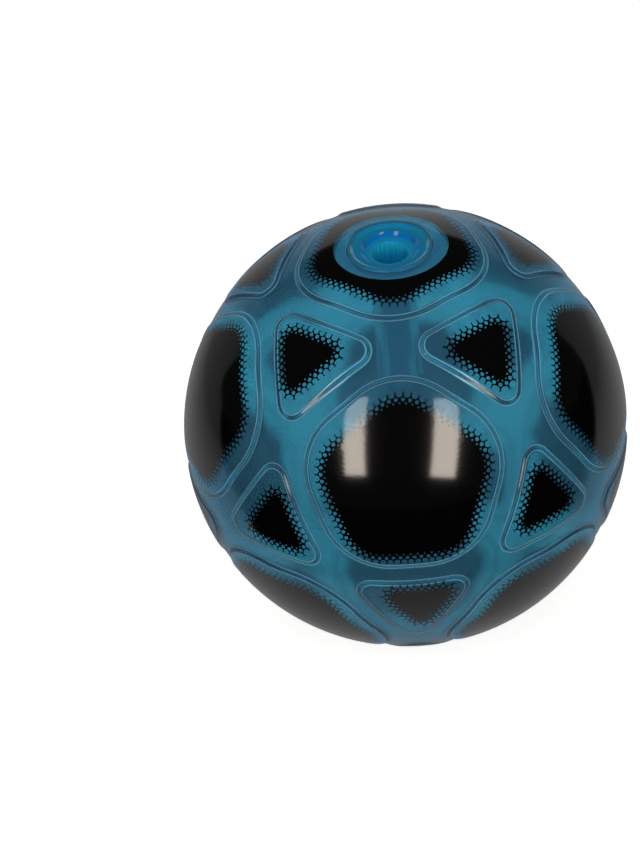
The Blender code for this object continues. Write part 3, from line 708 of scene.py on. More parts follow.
def turned(profile, columns, wave=0.0, waves=0, waved=None):
    """Surface of a profile of (radius, height) points carried about Z, as one patch.

    Where waved is 1 the radius is drawn in by wave times a raised cosine that repeats waves
    times in a turn. The profile runs so that the surface lies on its left.
    """
    profile = np.asarray(profile, float)
    waved = np.zeros(len(profile)) if waved is None else waved
    turn = math.tau * np.arange(columns) / columns
    ripple = (0.5 - 0.5 * np.cos(waves * turn)) ** 2
    radius = profile[:, :1] - wave * waved[:, None] * ripple
    return around(radius, turn, profile[:, 1:]).reshape(-1, 3), grid_faces(len(profile), columns)


def under_shell(radius):
    """Height of the seat under the shell, on the axis of a hole, at a distance from the axis."""
    return np.sqrt((inner_radius - FIT_GAP)**2 - np.asarray(radius)**2)


def dish(outer, inner, top, bottom, slope, wall, steps=8):
    """Profile of a dish: a straight steep wall, and a parabola that brings it level inside.

    The wall stands at the slope and takes a share of the depth. Below it a parabola starts on
    that slope and ends level at the inner radius.
    """
    turn = top - wall * (top - bottom)
    foot = outer - (top - turn) / math.tan(slope)
    share = np.linspace(0, 1, steps + 1)
    tangent = foot - (turn - bottom) / math.tan(slope)
    control = np.array([[foot, turn], [tangent, bottom], [inner, bottom]])
    weights = np.stack([(1 - share) ** 2, 2 * share * (1 - share), share**2], 1)
    return np.concatenate([[[outer, top]], weights @ control])


def depth_share(tree, place):
    """How far a point has risen from PAINTED_LIGHT_DEPTH below the rim, 0, to the rim, 1."""
    height = add_node(tree, "SeparateXYZ", {0: place}).outputs["Z"]
    share = add_node(tree, "MapRange", {
        "Value": height, "From Min": RIM_Z - PAINTED_LIGHT_DEPTH, "From Max": RIM_Z})
    return share.outputs[0]


ledge_z, bore_z = RIM_Z - LEDGE_DEPTH, RIM_Z - BOWL_DEPTH
bowl_reach = RIM_RADIUS - RIM_WIDTH
flange_radii = np.linspace(FLANGE_RADIUS, RIM_RADIUS, FLANGE_POINTS)
mouth = np.concatenate([
    arc((RIM_RADIUS - RIM_EASE, RIM_Z - RIM_EASE), (RIM_EASE, RIM_EASE), 0, 90, 3),
    [[RIM_RADIUS - 2 * RIM_EASE, RIM_Z], [bowl_reach + RIM_EASE, RIM_Z]],
    dish(bowl_reach, LEDGE_RADIUS + LEDGE_WIDTH, RIM_Z, ledge_z, *RIM_WALL),
    [[LEDGE_RADIUS + RIM_EASE, ledge_z]],
    dish(LEDGE_RADIUS, BORE_RADIUS + BORE_EASE, ledge_z, bore_z, *BOWL_WALL),
    arc((BORE_RADIUS + BORE_EASE, bore_z - BORE_EASE), (BORE_EASE, BORE_EASE), 90, 180, 4)[1:],
])
well_floor_z = WELL_END_Z + WELL_WALL
bore = np.array([[BORE_RADIUS, bore_z - RIB_LEAD], [BORE_RADIUS, bore_z - 2 * RIB_LEAD],
                 [BORE_RADIUS, (bore_z + well_floor_z) / 2], [BORE_RADIUS, well_floor_z],
                 [0, well_floor_z]])
outside = np.concatenate([
    [[0, WELL_END_Z], [BORE_RADIUS, WELL_END_Z], [BORE_RADIUS + WELL_WALL, well_floor_z],
     [BORE_RADIUS + WELL_WALL, bore_z - WELL_WALL], [LEDGE_RADIUS + WELL_WALL, ledge_z - WELL_WALL]],
    np.stack([flange_radii[::-1], under_shell(flange_radii[::-1]) - FLANGE_THICKNESS], 1),
    np.stack([flange_radii, under_shell(flange_radii)], 1),
    [[RIM_RADIUS, RIM_Z - RIM_EASE]],
])
well_pvc = pvc_finish("bright blue see-through pvc", "#10a2e4", "#24b2ea", WELL_CLEAR, depth_share,
                      WELL_PAINTED_LIGHT)
well_profile = np.concatenate([mouth, bore, outside])
ribbed = np.zeros(len(well_profile))
ribbed[len(mouth):len(mouth) + 4] = [0.5, 1, 1, 1]
well = turned(well_profile, RIB_COUNT * RIB_POINTS, RIB_HEIGHT, RIB_COUNT, ribbed)
add_piece("port_well_moulding", [well], well_pvc, "ball", "well_pvc", "port_well")

# %% [markdown]
# ## Small parts: shapes
#
# The valve and the capsule are made of small moulded, stamped and wound parts. None of them
# has a sharp edge, and it is the eased edge that catches the light. So each profile is listed
# by its corners, in millimetres, and one function eases them all. Four ways of carrying a
# profile make every part: about an axis, along part of a turn, along a coil and up a slab.

# %% Small part shapes
EASE_STEPS = 4
EASE_LIMIT, HOLD = 0.3, 1.5
ROUND_COLUMNS, SMALL_COLUMNS, WIRE_COLUMNS, COIL_COLUMNS = 72, 32, 10, 40
CAPSULE_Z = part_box("capsule_body")[0].z


def eased(corners, ease, closed=False):
    """Profile whose corners are rounded by parabolas, with flats that stay flat when shaded.

    A parabola starts and ends at a distance from its corner, ease or EASE_LIMIT of the shorter
    leg, and bends towards the corner. A point on each leg at HOLD times that distance keeps the
    bend from showing further along. An open profile keeps its two ends as they are.
    """
    corners = np.asarray(corners, float)
    before, after = np.roll(corners, 1, axis=0) - corners, np.roll(corners, -1, axis=0) - corners
    shorter = np.minimum(np.linalg.norm(before, axis=1), np.linalg.norm(after, axis=1))
    cut = np.minimum(ease, EASE_LIMIT * shorter)[:, None]
    start, end = cut * unit(before), cut * unit(after)
    share = np.linspace(0, 1, EASE_STEPS + 1)[None, :, None]
    bend = (1 - share) ** 2 * start[:, None] + share**2 * end[:, None]
    rows = corners[:, None] + np.concatenate([HOLD * start[:, None], bend, HOLD * end[:, None]], 1)
    if closed:
        return np.concatenate([rows.reshape(-1, 2), rows[0, :1]])
    return np.concatenate([corners[:1], rows[1:-1].reshape(-1, 2), corners[-1:]])


def placed(patch, place=(0, 0, 0)):
    """A patch in millimetres moved to a place in the capsule, in metres in the ball."""
    points, faces = patch
    return (points + place) * MM + [0, 0, CAPSULE_Z], faces


def lathe(corners, ease, place=(0, 0, 0), columns=ROUND_COLUMNS, closed=False):
    """Eased profile carried about an upright axis, with the solid on the left of the profile."""
    return placed(turned(eased(corners, ease, closed), columns), place)


def part_turn(corners, ease, start, end, columns=ROUND_COLUMNS):
    """Eased closed profile carried from one turn to another, in degrees, and closed at its ends.

    The end caps are rings that shrink to the middle of the profile.
    """
    section = eased(corners, ease, closed=True)[:-1]
    turn = np.radians(np.linspace(start, end, columns))[:, None]
    turn = np.concatenate([turn[:1], turn, turn[-1:]])
    middle = np.asarray(corners, float).mean(0)
    size = np.ones((len(turn), 1))
    size[[0, -1]] = 0
    reach = middle[0] + size * (section[:, 0] - middle[0])
    height = middle[1] + size * (section[:, 1] - middle[1])
    return placed((around(reach, turn, height).reshape(-1, 3), grid_faces(*reach.shape)))


def coil(foot, head, height, turns, wire, place):
    """Round wire wound about an upright axis, its radius going from foot to head as it climbs.

    The section is a circle across the path, drawn in the direction away from the axis and in
    the one square to it, and it shrinks to a point at both ends.
    """
    along = np.linspace(0, 1, int(turns * COIL_COLUMNS) + 1)
    turn, reach = math.tau * turns * along, foot + (head - foot) * along
    path = around(reach, turn, wire / 2 + (height - wire) * along)
    ahead = unit(np.gradient(path, axis=0))
    away = around(1.0, turn, 0.0)
    away = unit(away - (away * ahead).sum(1, keepdims=True) * ahead)
    over = np.cross(ahead, away)
    path, away, over = (np.concatenate([row[:1], row, row[-1:]])[:, None] for row in (path, away, over))
    size = np.full(len(path), wire / 2)
    size[[0, -1]] = 0
    angle = math.tau * np.arange(WIRE_COLUMNS) / WIRE_COLUMNS
    round_wire = np.cos(angle)[None, :, None] * away + np.sin(angle)[None, :, None] * over
    points = path + size[:, None, None] * round_wire
    return placed((points.reshape(-1, 3), grid_faces(*points.shape[:2])[:, ::-1]), place)


def slab(low, high, ease):
    """Block between two corners with eased edges.

    A rectangle with eased corners is carried upwards, and at each end it draws in by ease times
    (1 - cos) of a quarter turn and then closes on its middle.
    """
    low, high = np.asarray(low, float), np.asarray(high, float)
    middle, half = (low + high) / 2, (high - low) / 2
    signs = np.array([[1, -1], [1, 1], [-1, 1], [-1, -1]])
    section = eased(signs * half[:2], ease, closed=True)[:-1]
    quarter = np.radians(np.linspace(-90, 0, EASE_STEPS))
    inset = np.concatenate([ease * (1 - np.cos(quarter)), ease * (1 - np.cos(quarter))[::-1]])
    rise = half[2] - ease + ease * np.sin(-quarter)
    height = np.concatenate([-rise, rise[::-1]])
    size = 1 - inset[:, None, None] / half[:2]
    heights = np.broadcast_to(height[:, None, None], (len(height), len(section), 1))
    rings = np.concatenate([section * size, heights], 2)
    poles = np.broadcast_to([[[0, 0, -half[2]]], [[0, 0, half[2]]]], (2, len(section), 3))
    points = middle + np.concatenate([poles[:1], rings, poles[1:]])
    return placed((points.reshape(-1, 3), grid_faces(*points.shape[:2])))


print("capsule stands at", round(CAPSULE_Z, 4))

# %% [markdown]
# ## Small parts: finishes
#
# Moulded plastic and rubber take the grain of their mould, drawn and rolled metal keeps fine
# streaks along the way it was worked, and a circuit board shows its copper as paler tracks
# under green lacquer. One function makes the first two, because only the stretch of the grain
# differs. The finest grains are drawn coarser than they are, so that they show at all.

# %% Small part finishes
def worked_finish(name, dark, light, grain_mm, grain_height_mm, stretch=(1, 1, 1), **sockets):
    """A finish whose tint and skin follow one noise, stretched along the way it was worked."""
    material, tree, shader, place = new_finish(name, **sockets)
    drawn = add_node(tree, "Mapping", {"Vector": place, "Scale": stretch})
    grain = add_node(tree, "TexNoise", {
        "Vector": drawn.outputs[0], "Scale": per_metre(grain_mm), "Detail": 3.0})
    tint = add_node(tree, "Mix", {
        "Factor": grain.outputs["Fac"], "A": linear(dark), "B": linear(light)}, data_type="RGBA")
    dress(tree, shader, tint.outputs["Result"], grain.outputs["Fac"], grain_height_mm * MM)
    return material


AROUND, UPRIGHT = (0.05, 0.05, 1), (1, 1, 0.04)
valve_rubber = worked_finish("black valve rubber", "#101112", "#1d1f20", 0.5, 0.02, Roughness=0.55)
seal_rubber = worked_finish("black nitrile rubber", "#0b0b0c", "#151516", 0.4, 0.008, Roughness=0.4)
button_silicone = worked_finish("grey silicone rubber", "#6d757b", "#7c858b", 0.7, 0.012, Roughness=0.5,
                                Subsurface_Weight=0.1, Subsurface_Scale=0.001)
white_abs = worked_finish("white spark-grained abs", "#d3d5d6", "#e4e6e6", 0.35, 0.012, Roughness=0.38)
dark_abs = worked_finish("dark spark-grained abs", "#17181a", "#222426", 0.3, 0.01, Roughness=0.42)
nickel_steel = worked_finish("nickel plated steel", "#b9b5ac", "#d0ccc3", 0.25, 0.002, AROUND,
                             Metallic=1.0, Roughness=0.24)
sheet_brass = worked_finish("rolled brass", "#b08a3e", "#cda958", 0.3, 0.003, UPRIGHT, Metallic=1.0,
                            Roughness=0.28)
tin_solder = worked_finish("tin solder", "#a9acae", "#c9cccd", 0.4, 0.01, Metallic=1.0, Roughness=0.22)
clear_case = worked_finish("clear polycarbonate", "#dcebf0", "#eaf5f8", 12.0, 0.01, UPRIGHT,
                           Roughness=0.05, IOR=1.4, Transmission_Weight=0.85)
clear_epoxy = worked_finish("clear epoxy", "#d4e4f4", "#e8f2fb", 1.2, 0.004, Roughness=0.06, IOR=1.53,
                            Transmission_Weight=0.9)

TRACK_MM, WEAVE_MM = 1.3, 0.5
TRACK_EDGES = (0.62, 0.68)
TRACK_HEIGHT, WEAVE_HEIGHT = 2.0, 0.008 * MM
board_lacquer, board_tree, board_shader, board_place = new_finish(
    "green lacquered circuit board", Roughness=0.3, Coat_Weight=0.3, Coat_Roughness=0.15)
tracks = add_node(board_tree, "TexWave", {
    "Vector": board_place, "Scale": per_metre(TRACK_MM) / math.tau, "Distortion": 4.0, "Detail": 0.0,
    "Detail Scale": 0.4})
track_share = add_node(board_tree, "MapRange", {
    "Value": tracks.outputs["Fac"], "From Min": TRACK_EDGES[0], "From Max": TRACK_EDGES[1]})
lacquer = add_node(board_tree, "Mix", {
    "Factor": track_share.outputs[0], "A": linear("#0b3f22"), "B": linear("#2c7a44")},
    data_type="RGBA")
weave = add_node(board_tree, "TexChecker", {"Vector": board_place, "Scale": per_metre(WEAVE_MM)})
board_relief = add_node(board_tree, "Math", {
    0: track_share.outputs[0], 1: TRACK_HEIGHT, 2: weave.outputs["Fac"]}, operation="MULTIPLY_ADD")
dress(board_tree, board_shader, lacquer.outputs["Result"], board_relief.outputs[0], WEAVE_HEIGHT)
print("small part finishes:", board_lacquer.name, "and ten more")

# %% [markdown]
# ## Inflation valve
#
# A ball is pumped up through a soft plug: a seat with a flange behind the shell, and a core
# with a fine channel for the needle, its mouth flared to guide it. Both are turned about Z and
# then tipped to the panel that they sit in.

# %% Inflation valve
VALVE_TILT = RING_POLAR - math.pi
VALVE_EASE = 0.3
VALVE_LENGTH, HEAD_DEPTH, HEAD_PLAY = 14.0, 1.5, 0.3
NECK, COLLAR = 4.5, 10.0
valve_axes = np.array([[1, 0, 0], [0, math.cos(VALVE_TILT), math.sin(VALVE_TILT)],
                       [0, -math.sin(VALVE_TILT), math.cos(VALVE_TILT)]])
valve_top = math.sqrt(BALL_RADIUS**2 - VALVE_HOLE**2) / MM
valve_tail, head_seat = valve_top - VALVE_LENGTH, valve_top - HEAD_DEPTH
head_foot = head_seat + HEAD_PLAY
neck_z, collar_z = under_shell([NECK * MM, COLLAR * MM]) / MM
seat_corners = [(2.3, valve_tail), (3.5, valve_tail), (NECK, neck_z - 3.0), (COLLAR, collar_z - 1.5),
                (COLLAR, collar_z), (NECK, neck_z), (NECK, valve_top), (3.3, valve_top),
                (3.3, head_seat), (2.3, head_seat)]
core_corners = [(0.6, valve_tail), (2.0, valve_tail), (2.0, head_foot), (3.0, head_foot),
                (3.0, valve_top), (1.3, valve_top), (0.6, head_seat)]
for name, corners in {"valve_seat": seat_corners, "valve_core": core_corners}.items():
    points, faces = turned(eased(corners, VALVE_EASE, closed=True), ROUND_COLUMNS)
    add_piece(name + "_moulding", [(points @ valve_axes * MM, faces)], valve_rubber, "ball",
              "valve_rubber", name)

# %% [markdown]
# ## Capsule case
#
# The light sits in a clear tube with a screw cap, a sealing ring and a soft button. The cap is
# fluted for the fingers, and a thread runs round its skirt as a fine bead.

# %% Capsule case
CAP_FLUTES, FLUTE_DEPTH, FLUTE_POINTS = 24, 0.4, 8
FLUTE_START, FLUTE_FADE = 7.2, 0.5
case_corners = [(0, 0), (8.1, 0), (8.1, 41.5), (7.0, 41.5), (7.0, 6.7), (5.9, 6.7), (5.9, 1.6),
                (0, 1.6)]
case_eases = np.array([0, 1.6, 0.3, 0.3, 0.2, 0.2, 0.8, 0])
add_piece("capsule_tube", [lathe(case_corners, case_eases)], clear_case, "capsule", "capsule_clear",
          "capsule_body")

cap_corners = [(5.6, 38.5), (6.7, 38.5), (6.7, 43.0), (8.1, 43.0), (8.1, 44.6), (7.5, 45.2),
               (3.8, 45.2), (3.3, 44.9), (3.3, 43.8), (5.6, 43.8)]
cap_profile = eased(cap_corners, 0.25, closed=True)
cap_waved = np.clip((cap_profile[:, 0] - FLUTE_START) / FLUTE_FADE, 0, 1)
cap_top = placed(turned(cap_profile, CAP_FLUTES * FLUTE_POINTS, FLUTE_DEPTH, CAP_FLUTES, cap_waved))
cap_thread = coil(foot=6.62, head=6.62, height=3.2, turns=2, wire=0.5, place=(0, 0, 39.2))
add_piece("screw_cap", [cap_top, cap_thread], white_abs, "cap", "cap_abs", "capsule_cap")

seal_ring = arc((7.55, 42.25), (0.45, 0.45), 0, 360, 18)
add_piece("sealing_ring", [placed(turned(seal_ring, ROUND_COLUMNS))], seal_rubber, "seal",
          "seal_rubber", "cap_seal")
button_corners = [(0, 41.9), (1.5, 41.9), (1.5, 42.7), (4.0, 42.7), (4.0, 43.5), (3.0, 43.5),
                  (3.0, 45.0), (2.3, 45.2), (1.5, 45.05), (0, 44.95)]
add_piece("soft_button", [lathe(button_corners, 0.25)], button_silicone, "button", "button_rubber",
          "power_button")

# %% [markdown]
# ## Battery pack
#
# Three button cells stand in a slotted sleeve between a coil and a contact plate. A cell is a
# steel can crimped over a smaller lid, with a dark gasket in the gap. The sleeve has a slot on
# each side for the strips that join the two boards.

# %% Battery pack
BATTERY_COUNT, STACK_BOTTOM, STACK_PITCH = 3, 19.4, 5.7
SLOT_TURN = 12.5
STRIP_REACH, STRIP_THICKNESS = 6.4, 0.2
can_corners = [(0, 0.0), (4.7, 0.0), (4.7, 0.6), (5.5, 0.6), (5.8, 1.0), (5.8, 5.4), (4.6, 5.4),
               (4.4, 5.3), (0, 5.3)]
gasket_corners = [(4.7, 0.3), (5.3, 0.4), (5.3, 0.7), (4.7, 0.7)]
gaskets = []
for number in range(BATTERY_COUNT):
    stand = (0, 0, STACK_BOTTOM + number * STACK_PITCH)
    add_piece(f"button_cell_{number + 1}", [lathe(can_corners, 0.25, stand)], nickel_steel, "capsule",
              "cell_steel", f"battery_{number + 1}")
    gaskets.append(lathe(gasket_corners, 0.1, stand, closed=True))
add_piece("cell_gaskets", gaskets, dark_abs, "capsule", "dark_abs")

wall_corners = [(6.1, 8.3), (6.7, 8.3), (6.7, 36.9), (6.1, 36.9)]
floor_corners = [(1.4, 14.8), (6.2, 14.8), (6.2, 15.6), (1.4, 15.6)]
sleeve = [part_turn(wall_corners, 0.15, start + SLOT_TURN, start + 180 - SLOT_TURN)
          for start in (0, 180)]
sleeve.append(lathe(floor_corners, 0.1, closed=True))
add_piece("slotted_sleeve", sleeve, dark_abs, "capsule", "dark_abs", "battery_sleeve")
plate_corners = [(0, 36.5), (4.5, 36.5), (4.5, 36.9), (1.7, 36.9), (1.3, 36.75), (0, 36.75)]
contact_coil = coil(foot=4.0, head=2.2, height=3.2, turns=2.5, wire=0.5, place=(0, 0, 15.9))
half_strip = STRIP_THICKNESS / 2
strips = [slab((x - half_strip, -1.0, 8.3), (x + half_strip, 1.0, 36.9), 0.06)
          for x in (STRIP_REACH, -STRIP_REACH)]
contacts = {"brass_strip_1": (strips[0], "bus_strip_1"), "brass_strip_2": (strips[1], "bus_strip_2"),
            "dimpled_plate": (lathe(plate_corners, 0.1), "contact_plate"),
            "wound_contact": (contact_coil, "contact_spring")}
for name, (patch, node) in contacts.items():
    add_piece(name, [patch], sheet_brass, "capsule", "contact_brass", node)

# %% [markdown]
# ## Circuit boards
#
# The upper board carries the switch under the button. The lower one carries three diodes that
# shine into the ball, the chip that makes them flash, and a shake sensor: a spring round a pin
# in a can. Legs and solder joints are small, but without them the parts seem to float.

# %% Circuit boards
LED_TURNS, LED_CIRCLE, LED_LEG = np.radians([0, 120, 240]), 3.3, 0.65
SOLDER_SPREAD = 1.05
SENSOR_PLACE = (-3.0, 0, 0)
for name, bottom in {"switch_board": 37.2, "led_board": 7.0}.items():
    disc = [(0, bottom), (6.7, bottom), (6.7, bottom + 1.0), (0, bottom + 1.0)]
    add_piece(name + "_lacquered", [lathe(disc, 0.08)], board_lacquer, "capsule", "circuit_board", name)


def squared(corners, ease, bore, half, corner):
    """Eased profile carried about the axis, round out to the bore and square at half the width.

    In between, the reach is multiplied by a blend from 1 to the rounded square's own reach.
    """
    profile = eased(corners, ease)
    turn = math.tau * np.arange(ROUND_COLUMNS) / ROUND_COLUMNS
    square = outline_reach(turn + math.pi / 4, 4, half, corner) / half
    share = np.clip((profile[:, :1] - bore) / (half - bore), 0, 1)
    reach = profile[:, :1] * (1 + share * (square - 1))
    return around(reach, turn, profile[:, 1:]).reshape(-1, 3), grid_faces(*reach.shape)


switch_corners = [(0, 38.5), (3.0, 38.5), (3.0, 40.7), (1.8, 40.7), (1.8, 39.0), (0, 39.0)]
housing = placed(squared(switch_corners, ease=0.2, bore=1.8, half=3.0, corner=0.4))
add_piece("switch_housing", [housing], dark_abs, "capsule", "dark_abs", "tact_switch")
stem_corners = [(0, 39.9), (1.5, 39.9), (1.5, 41.6), (0, 41.6)]
add_piece("switch_stem", [lathe(stem_corners, 0.2, columns=SMALL_COLUMNS)], dark_abs, "plunger",
          "dark_abs", "switch_plunger")

lamp_corners = np.concatenate([arc((0, 3.6), (1.5, 1.5), -90, 0, 10),
                               [(1.5, 5.9), (1.8, 5.9), (1.8, 6.7), (0, 6.7)]])
cup_corners = [(0, 4.7), (0.6, 4.4), (0.75, 4.4), (0.75, 6.2), (0, 6.2)]
leg_corners = [(0, 6.4), (0.22, 6.4), (0.22, 7.9), (0.5, 8.0), (0.22, 8.2), (0, 8.25)]
solder_corners = [(0, 38.2), (0.75, 38.2), (0.4, 38.45), (0, 38.5)]
chip_leg = ((1.95, 2.4, 8.85, 9.05), (2.25, 2.45, 8.1, 9.05), (2.3, 2.85, 8.05, 8.25))
cups, joints = [], []
for number, turn in enumerate(LED_TURNS, 1):
    stand = (LED_CIRCLE * math.cos(turn), LED_CIRCLE * math.sin(turn), 0)
    lamp = placed(turned(lamp_corners, SMALL_COLUMNS), stand)
    add_piece(f"led_lens_{number}", [lamp], clear_epoxy, "capsule", "led_epoxy", f"led_{number}")
    cups.append(lathe(cup_corners, 0.08, stand, SMALL_COLUMNS))
    for side in (-LED_LEG, LED_LEG):
        foot = np.array(stand) + [-side * math.sin(turn), side * math.cos(turn), 0]
        joints.append(lathe(leg_corners, 0.05, foot, SMALL_COLUMNS))
add_piece("led_cups", cups, nickel_steel, "capsule", "cell_steel")

chip = slab((0.8, -2.0, 8.3), (4.8, 2.0, 9.7), 0.15)
add_piece("flasher_chip", [chip], dark_abs, "capsule", "dark_abs", "controller_chip")
for x, side in itertools.product((1.3, 2.3, 3.3, 4.3), (-1, 1)):
    for near, far, low, high in chip_leg:
        y_low, y_high = sorted((side * near, side * far))
        joints.append(slab((x - 0.18, y_low, low), (x + 0.18, y_high, high), 0.05))
for x, y in itertools.product((-3.15, 3.15), (-2.1, 2.1)):
    joints.append(slab((x - 0.2, y - 0.35, 38.1), (x + 0.2, y + 0.35, 39.3), 0.08))
    joints.append(lathe(solder_corners, 0.1, (x * SOLDER_SPREAD, y, 0), SMALL_COLUMNS))
add_piece("legs_and_solder", joints, tin_solder, "capsule", "cell_steel")

sensor_can = [(0, 14.2), (1.7, 14.2), (1.7, 8.3), (2.0, 8.3), (2.0, 14.5), (0, 14.5)]
sensor_post = [(0, 8.3), (1.4, 8.3), (1.4, 9.1), (0.3, 9.1), (0.3, 13.9), (0, 13.9)]
sensor_coil = coil(foot=1.0, head=1.0, height=4.25, turns=5, wire=0.25, place=(*SENSOR_PLACE[:2], 9.4))
sensor = {"shake_can": (lathe(sensor_can, 0.15, SENSOR_PLACE, SMALL_COLUMNS), "sensor_case"),
          "shake_post": (lathe(sensor_post, 0.1, SENSOR_PLACE, SMALL_COLUMNS), "sensor_pin"),
          "shake_spring": (sensor_coil, "sensor_spring")}
for name, (patch, node) in sensor.items():
    add_piece(name, [patch], sheet_brass, "capsule", "contact_brass", node)

# %% [markdown]
# ## Floor and backdrop
#
# The ball stands on a white sweep that turns up behind it. Light Path lifts the sweep to white
# where the camera looks at it, over a plain matt surface that keeps the ball's shadow, and leaves
# it that matt surface for everything else but reflections and the see-through shell. To those it
# is a glow, dark in front of the paper's edge, and behind that edge it carries a painted shadow of
# the ball: it is dimmed near the ball and rises further out. In reflections it rises to a level
# that is brighter straight behind than to the sides. The ink under the ball lies a hair below the
# shell's flat, so the sweep lies lower still.

# %% Sweep
FLOOR_GAP = 0.1 * MM
FLOOR_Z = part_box("ball_shell")[0].z - FLOOR_GAP
SWEEP_HALF_WIDTH, SWEEP_FRONT, SWEEP_BACK = 3.5, -2.5, 1.3
SWEEP_BEND, SWEEP_HEIGHT, BEND_POINTS = 0.45, 0.9, 13
CAMERA_LIFT = 0.8
EDGE_FRONT, EDGE_SLANT, EDGE_LEAN, EDGE_SOFTNESS = -0.22, 0.465, 0.075, 0.03
# Glow levels of the sweep as seen in reflections and through the shell; the low levels near the ball
# are a painted shadow of the ball.
NEAR_REACH, FAR_REACH, NEAR_GLOW, SIDE_GLOW, BACK_GLOW, SIDEWAYS = 0.35, 0.8, 0.19, 0.09, 0.32, 0.7
THROUGH_GLOW, SHADE_GLOW, SHADE_REACH = 1.3, 0.85, 0.24

sweep_bend = np.radians(np.linspace(0, 90, BEND_POINTS))
sweep_line = np.concatenate([
    [[SWEEP_FRONT, 0.0]],
    np.stack([SWEEP_BACK + SWEEP_BEND * np.sin(sweep_bend), SWEEP_BEND * (1 - np.cos(sweep_bend))], 1),
    [[SWEEP_BACK + SWEEP_BEND, SWEEP_HEIGHT]],
])
sweep_sides = np.array([SWEEP_HALF_WIDTH, -SWEEP_HALF_WIDTH])
sweep_points = np.stack(np.broadcast_arrays(sweep_sides[None, :], sweep_line[:, :1],
                                            FLOOR_Z + sweep_line[:, 1:]), -1).reshape(-1, 3)
sweep_mesh = bpy.data.meshes.new("white_sweep")
sweep_faces = grid_faces(len(sweep_line), 2, closed=False)
sweep_mesh.from_pydata(sweep_points.tolist(), [], sweep_faces.tolist())
sweep_mesh.shade_smooth()
sweep = new_object("white_sweep", sweep_mesh)

sweep_paint = bpy.data.materials.new("matt white sweep")
sweep_paint.use_nodes = True
paint_tree = sweep_paint.node_tree
paint_tree.nodes.clear()
ray = add_node(paint_tree, "LightPath").outputs
seen_in = add_node(paint_tree, "Math", {
    0: ray["Is Glossy Ray"], 1: ray["Is Transmission Ray"]}, operation="MAXIMUM")
matt = add_node(paint_tree, "BsdfDiffuse", {"Color": linear("#e6e6e6")})
lift = add_node(paint_tree, "Math", {0: ray["Is Camera Ray"], 1: CAMERA_LIFT}, operation="MULTIPLY")
lifted = add_node(paint_tree, "Emission", {"Color": linear("#ffffff"), "Strength": lift.outputs[0]})
faint = add_node(paint_tree, "AddShader", {0: matt.outputs[0], 1: lifted.outputs[0]})
sweep_place = add_node(paint_tree, "TexCoord").outputs["Object"]
spot = add_node(paint_tree, "SeparateXYZ", {0: sweep_place}).outputs
aside = add_node(paint_tree, "Math", {0: spot["X"]}, operation="ABSOLUTE")
lean_y = add_node(paint_tree, "Math", {
    0: spot["X"], 1: EDGE_LEAN, 2: EDGE_FRONT}, operation="MULTIPLY_ADD")
edge_y = add_node(paint_tree, "Math", {
    0: aside.outputs[0], 1: EDGE_SLANT, 2: lean_y.outputs[0]}, operation="MULTIPLY_ADD")
past_edge = add_node(paint_tree, "Math", {0: spot["Y"], 1: edge_y.outputs[0]}, operation="SUBTRACT")
paper = add_node(paint_tree, "MapRange", {"Value": past_edge.outputs[0], "From Max": EDGE_SOFTNESS})
from_ball = add_node(paint_tree, "VectorMath", {
    0: sweep_place}, operation="LENGTH").outputs["Value"]
sideways = add_node(paint_tree, "Math", {0: aside.outputs[0], 1: from_ball}, operation="DIVIDE")
# Painted shadow: the glow seen in reflections and through the shell is dimmed near the ball.
far_light = add_node(paint_tree, "MapRange", {
    "Value": sideways.outputs[0], "From Max": SIDEWAYS, "To Min": BACK_GLOW, "To Max": SIDE_GLOW})
reflected_shaded_level = add_node(paint_tree, "MapRange", {
    "Value": from_ball, "From Min": NEAR_REACH, "From Max": FAR_REACH, "To Min": NEAR_GLOW,
    "To Max": far_light.outputs[0]})
shade = add_node(paint_tree, "MapRange", {
    "Value": from_ball, "From Min": -FLOOR_Z, "From Max": SHADE_REACH, "To Min": SHADE_GLOW,
    "To Max": THROUGH_GLOW})
glow_level = add_node(paint_tree, "Mix", {
    0: ray["Is Transmission Ray"], 2: reflected_shaded_level.outputs[0], 3: shade.outputs[0]})
seen_level = add_node(paint_tree, "Math", {
    0: paper.outputs[0], 1: glow_level.outputs[0]}, operation="MULTIPLY")
glow = add_node(paint_tree, "Emission", {
    "Color": linear("#ffffff"), "Strength": seen_level.outputs[0]})
either = add_node(paint_tree, "MixShader", {
    0: seen_in.outputs[0], 1: faint.outputs[0], 2: glow.outputs[0]})
add_node(paint_tree, "OutputMaterial", {"Surface": either.outputs[0]})
sweep_mesh.materials.append(sweep_paint)
print("sweep:", len(sweep_mesh.polygons), "faces, floor at", round(FLOOR_Z, 4))

# %% [markdown]
# ## Light
#
# Two tall soft boxes stand in front, one on each side, and show in the ink as two pale upright
# bars. A broad lamp overhead fills the shadows, and is seen neither in reflections nor through
# the shell.

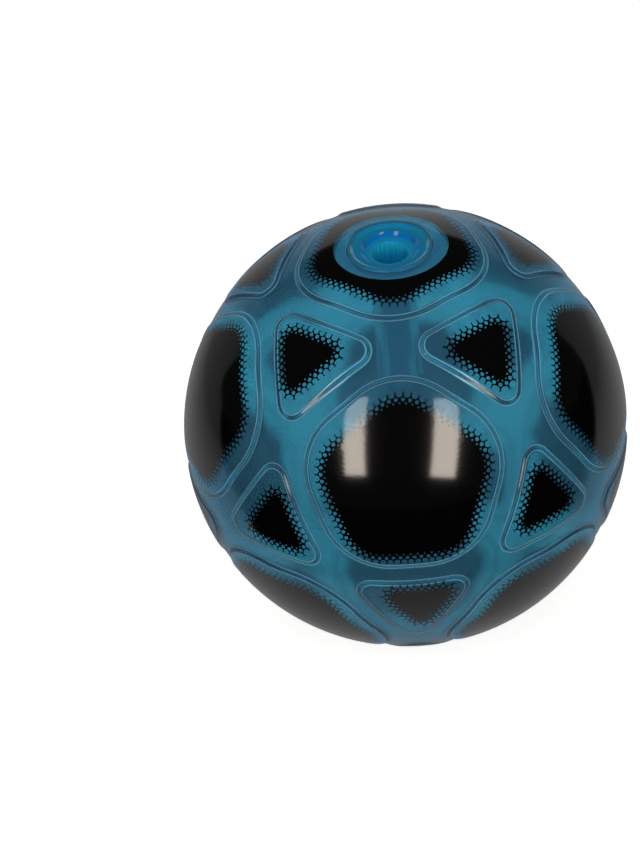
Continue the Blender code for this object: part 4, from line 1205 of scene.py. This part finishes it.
# %% Soft boxes
BOX_DISTANCE = 1.0
BOX_HEIGHT = 0.66
BOX_RADIANCE = 6.0
BOX_TINT = "#fff2e4"
BOXES = {"left_soft_box": (-27.5, 32.8, 10.2, 0.176), "right_soft_box": (23.0, 29.9, -19.5, 0.208)}

for name, (turn, rise, lean, width) in BOXES.items():
    axes = aimed(*np.radians([turn, rise, lean]))
    light = bpy.data.lights.new(name, "AREA")
    light.shape = "RECTANGLE"
    light.size, light.size_y = width, BOX_HEIGHT
    light.energy = BOX_RADIANCE * math.pi * width * BOX_HEIGHT
    light.color = linear(BOX_TINT)[:3]
    box = new_object(name, light)
    box.matrix_world = Matrix.Translation(BOX_DISTANCE * axes[2]) @ Matrix(axes.T.tolist()).to_4x4()
    box.visible_camera = False
print("soft boxes:", ", ".join(BOXES))

FILL_HEIGHT, FILL_SIZE, FILL_RADIANCE = 1.2, 1.6, 0.9

fill = bpy.data.lights.new("overhead_fill", "AREA")
fill.size = FILL_SIZE
fill.energy = FILL_RADIANCE * math.pi * FILL_SIZE**2
overhead = new_object("overhead_fill", fill)
overhead.location = (0.0, 0.0, FILL_HEIGHT)
overhead.visible_camera = overhead.visible_glossy = overhead.visible_transmission = False
print("fill light:", FILL_SIZE, "m wide, overhead")

# %% [markdown]
# ## Room
#
# The camera sees white beyond the sweep. The rest of the room is dark to reflections, which is
# what makes the ink look black, and bright through the shell, which is what makes it glow.

# %% World
ROOM_LEVEL, ROOM_THROUGH = 0.012, 0.8

world = bpy.data.worlds.new("dark room")
bpy.context.scene.world = world
world.use_nodes = True
room_tree = world.node_tree
room_ray = add_node(room_tree, "LightPath").outputs
indirect = add_node(room_tree, "MapRange", {
    "Value": room_ray["Is Transmission Ray"], "To Min": ROOM_LEVEL, "To Max": ROOM_THROUGH})
room_level = add_node(room_tree, "Math", {
    0: room_ray["Is Camera Ray"], 1: indirect.outputs[0]}, operation="MAXIMUM")
room = room_tree.nodes["Background"]
room.inputs["Color"].default_value = linear("#ffffff")
room_tree.links.new(room_level.outputs[0], room.inputs["Strength"])
print("world: white to the camera, dark to reflections")
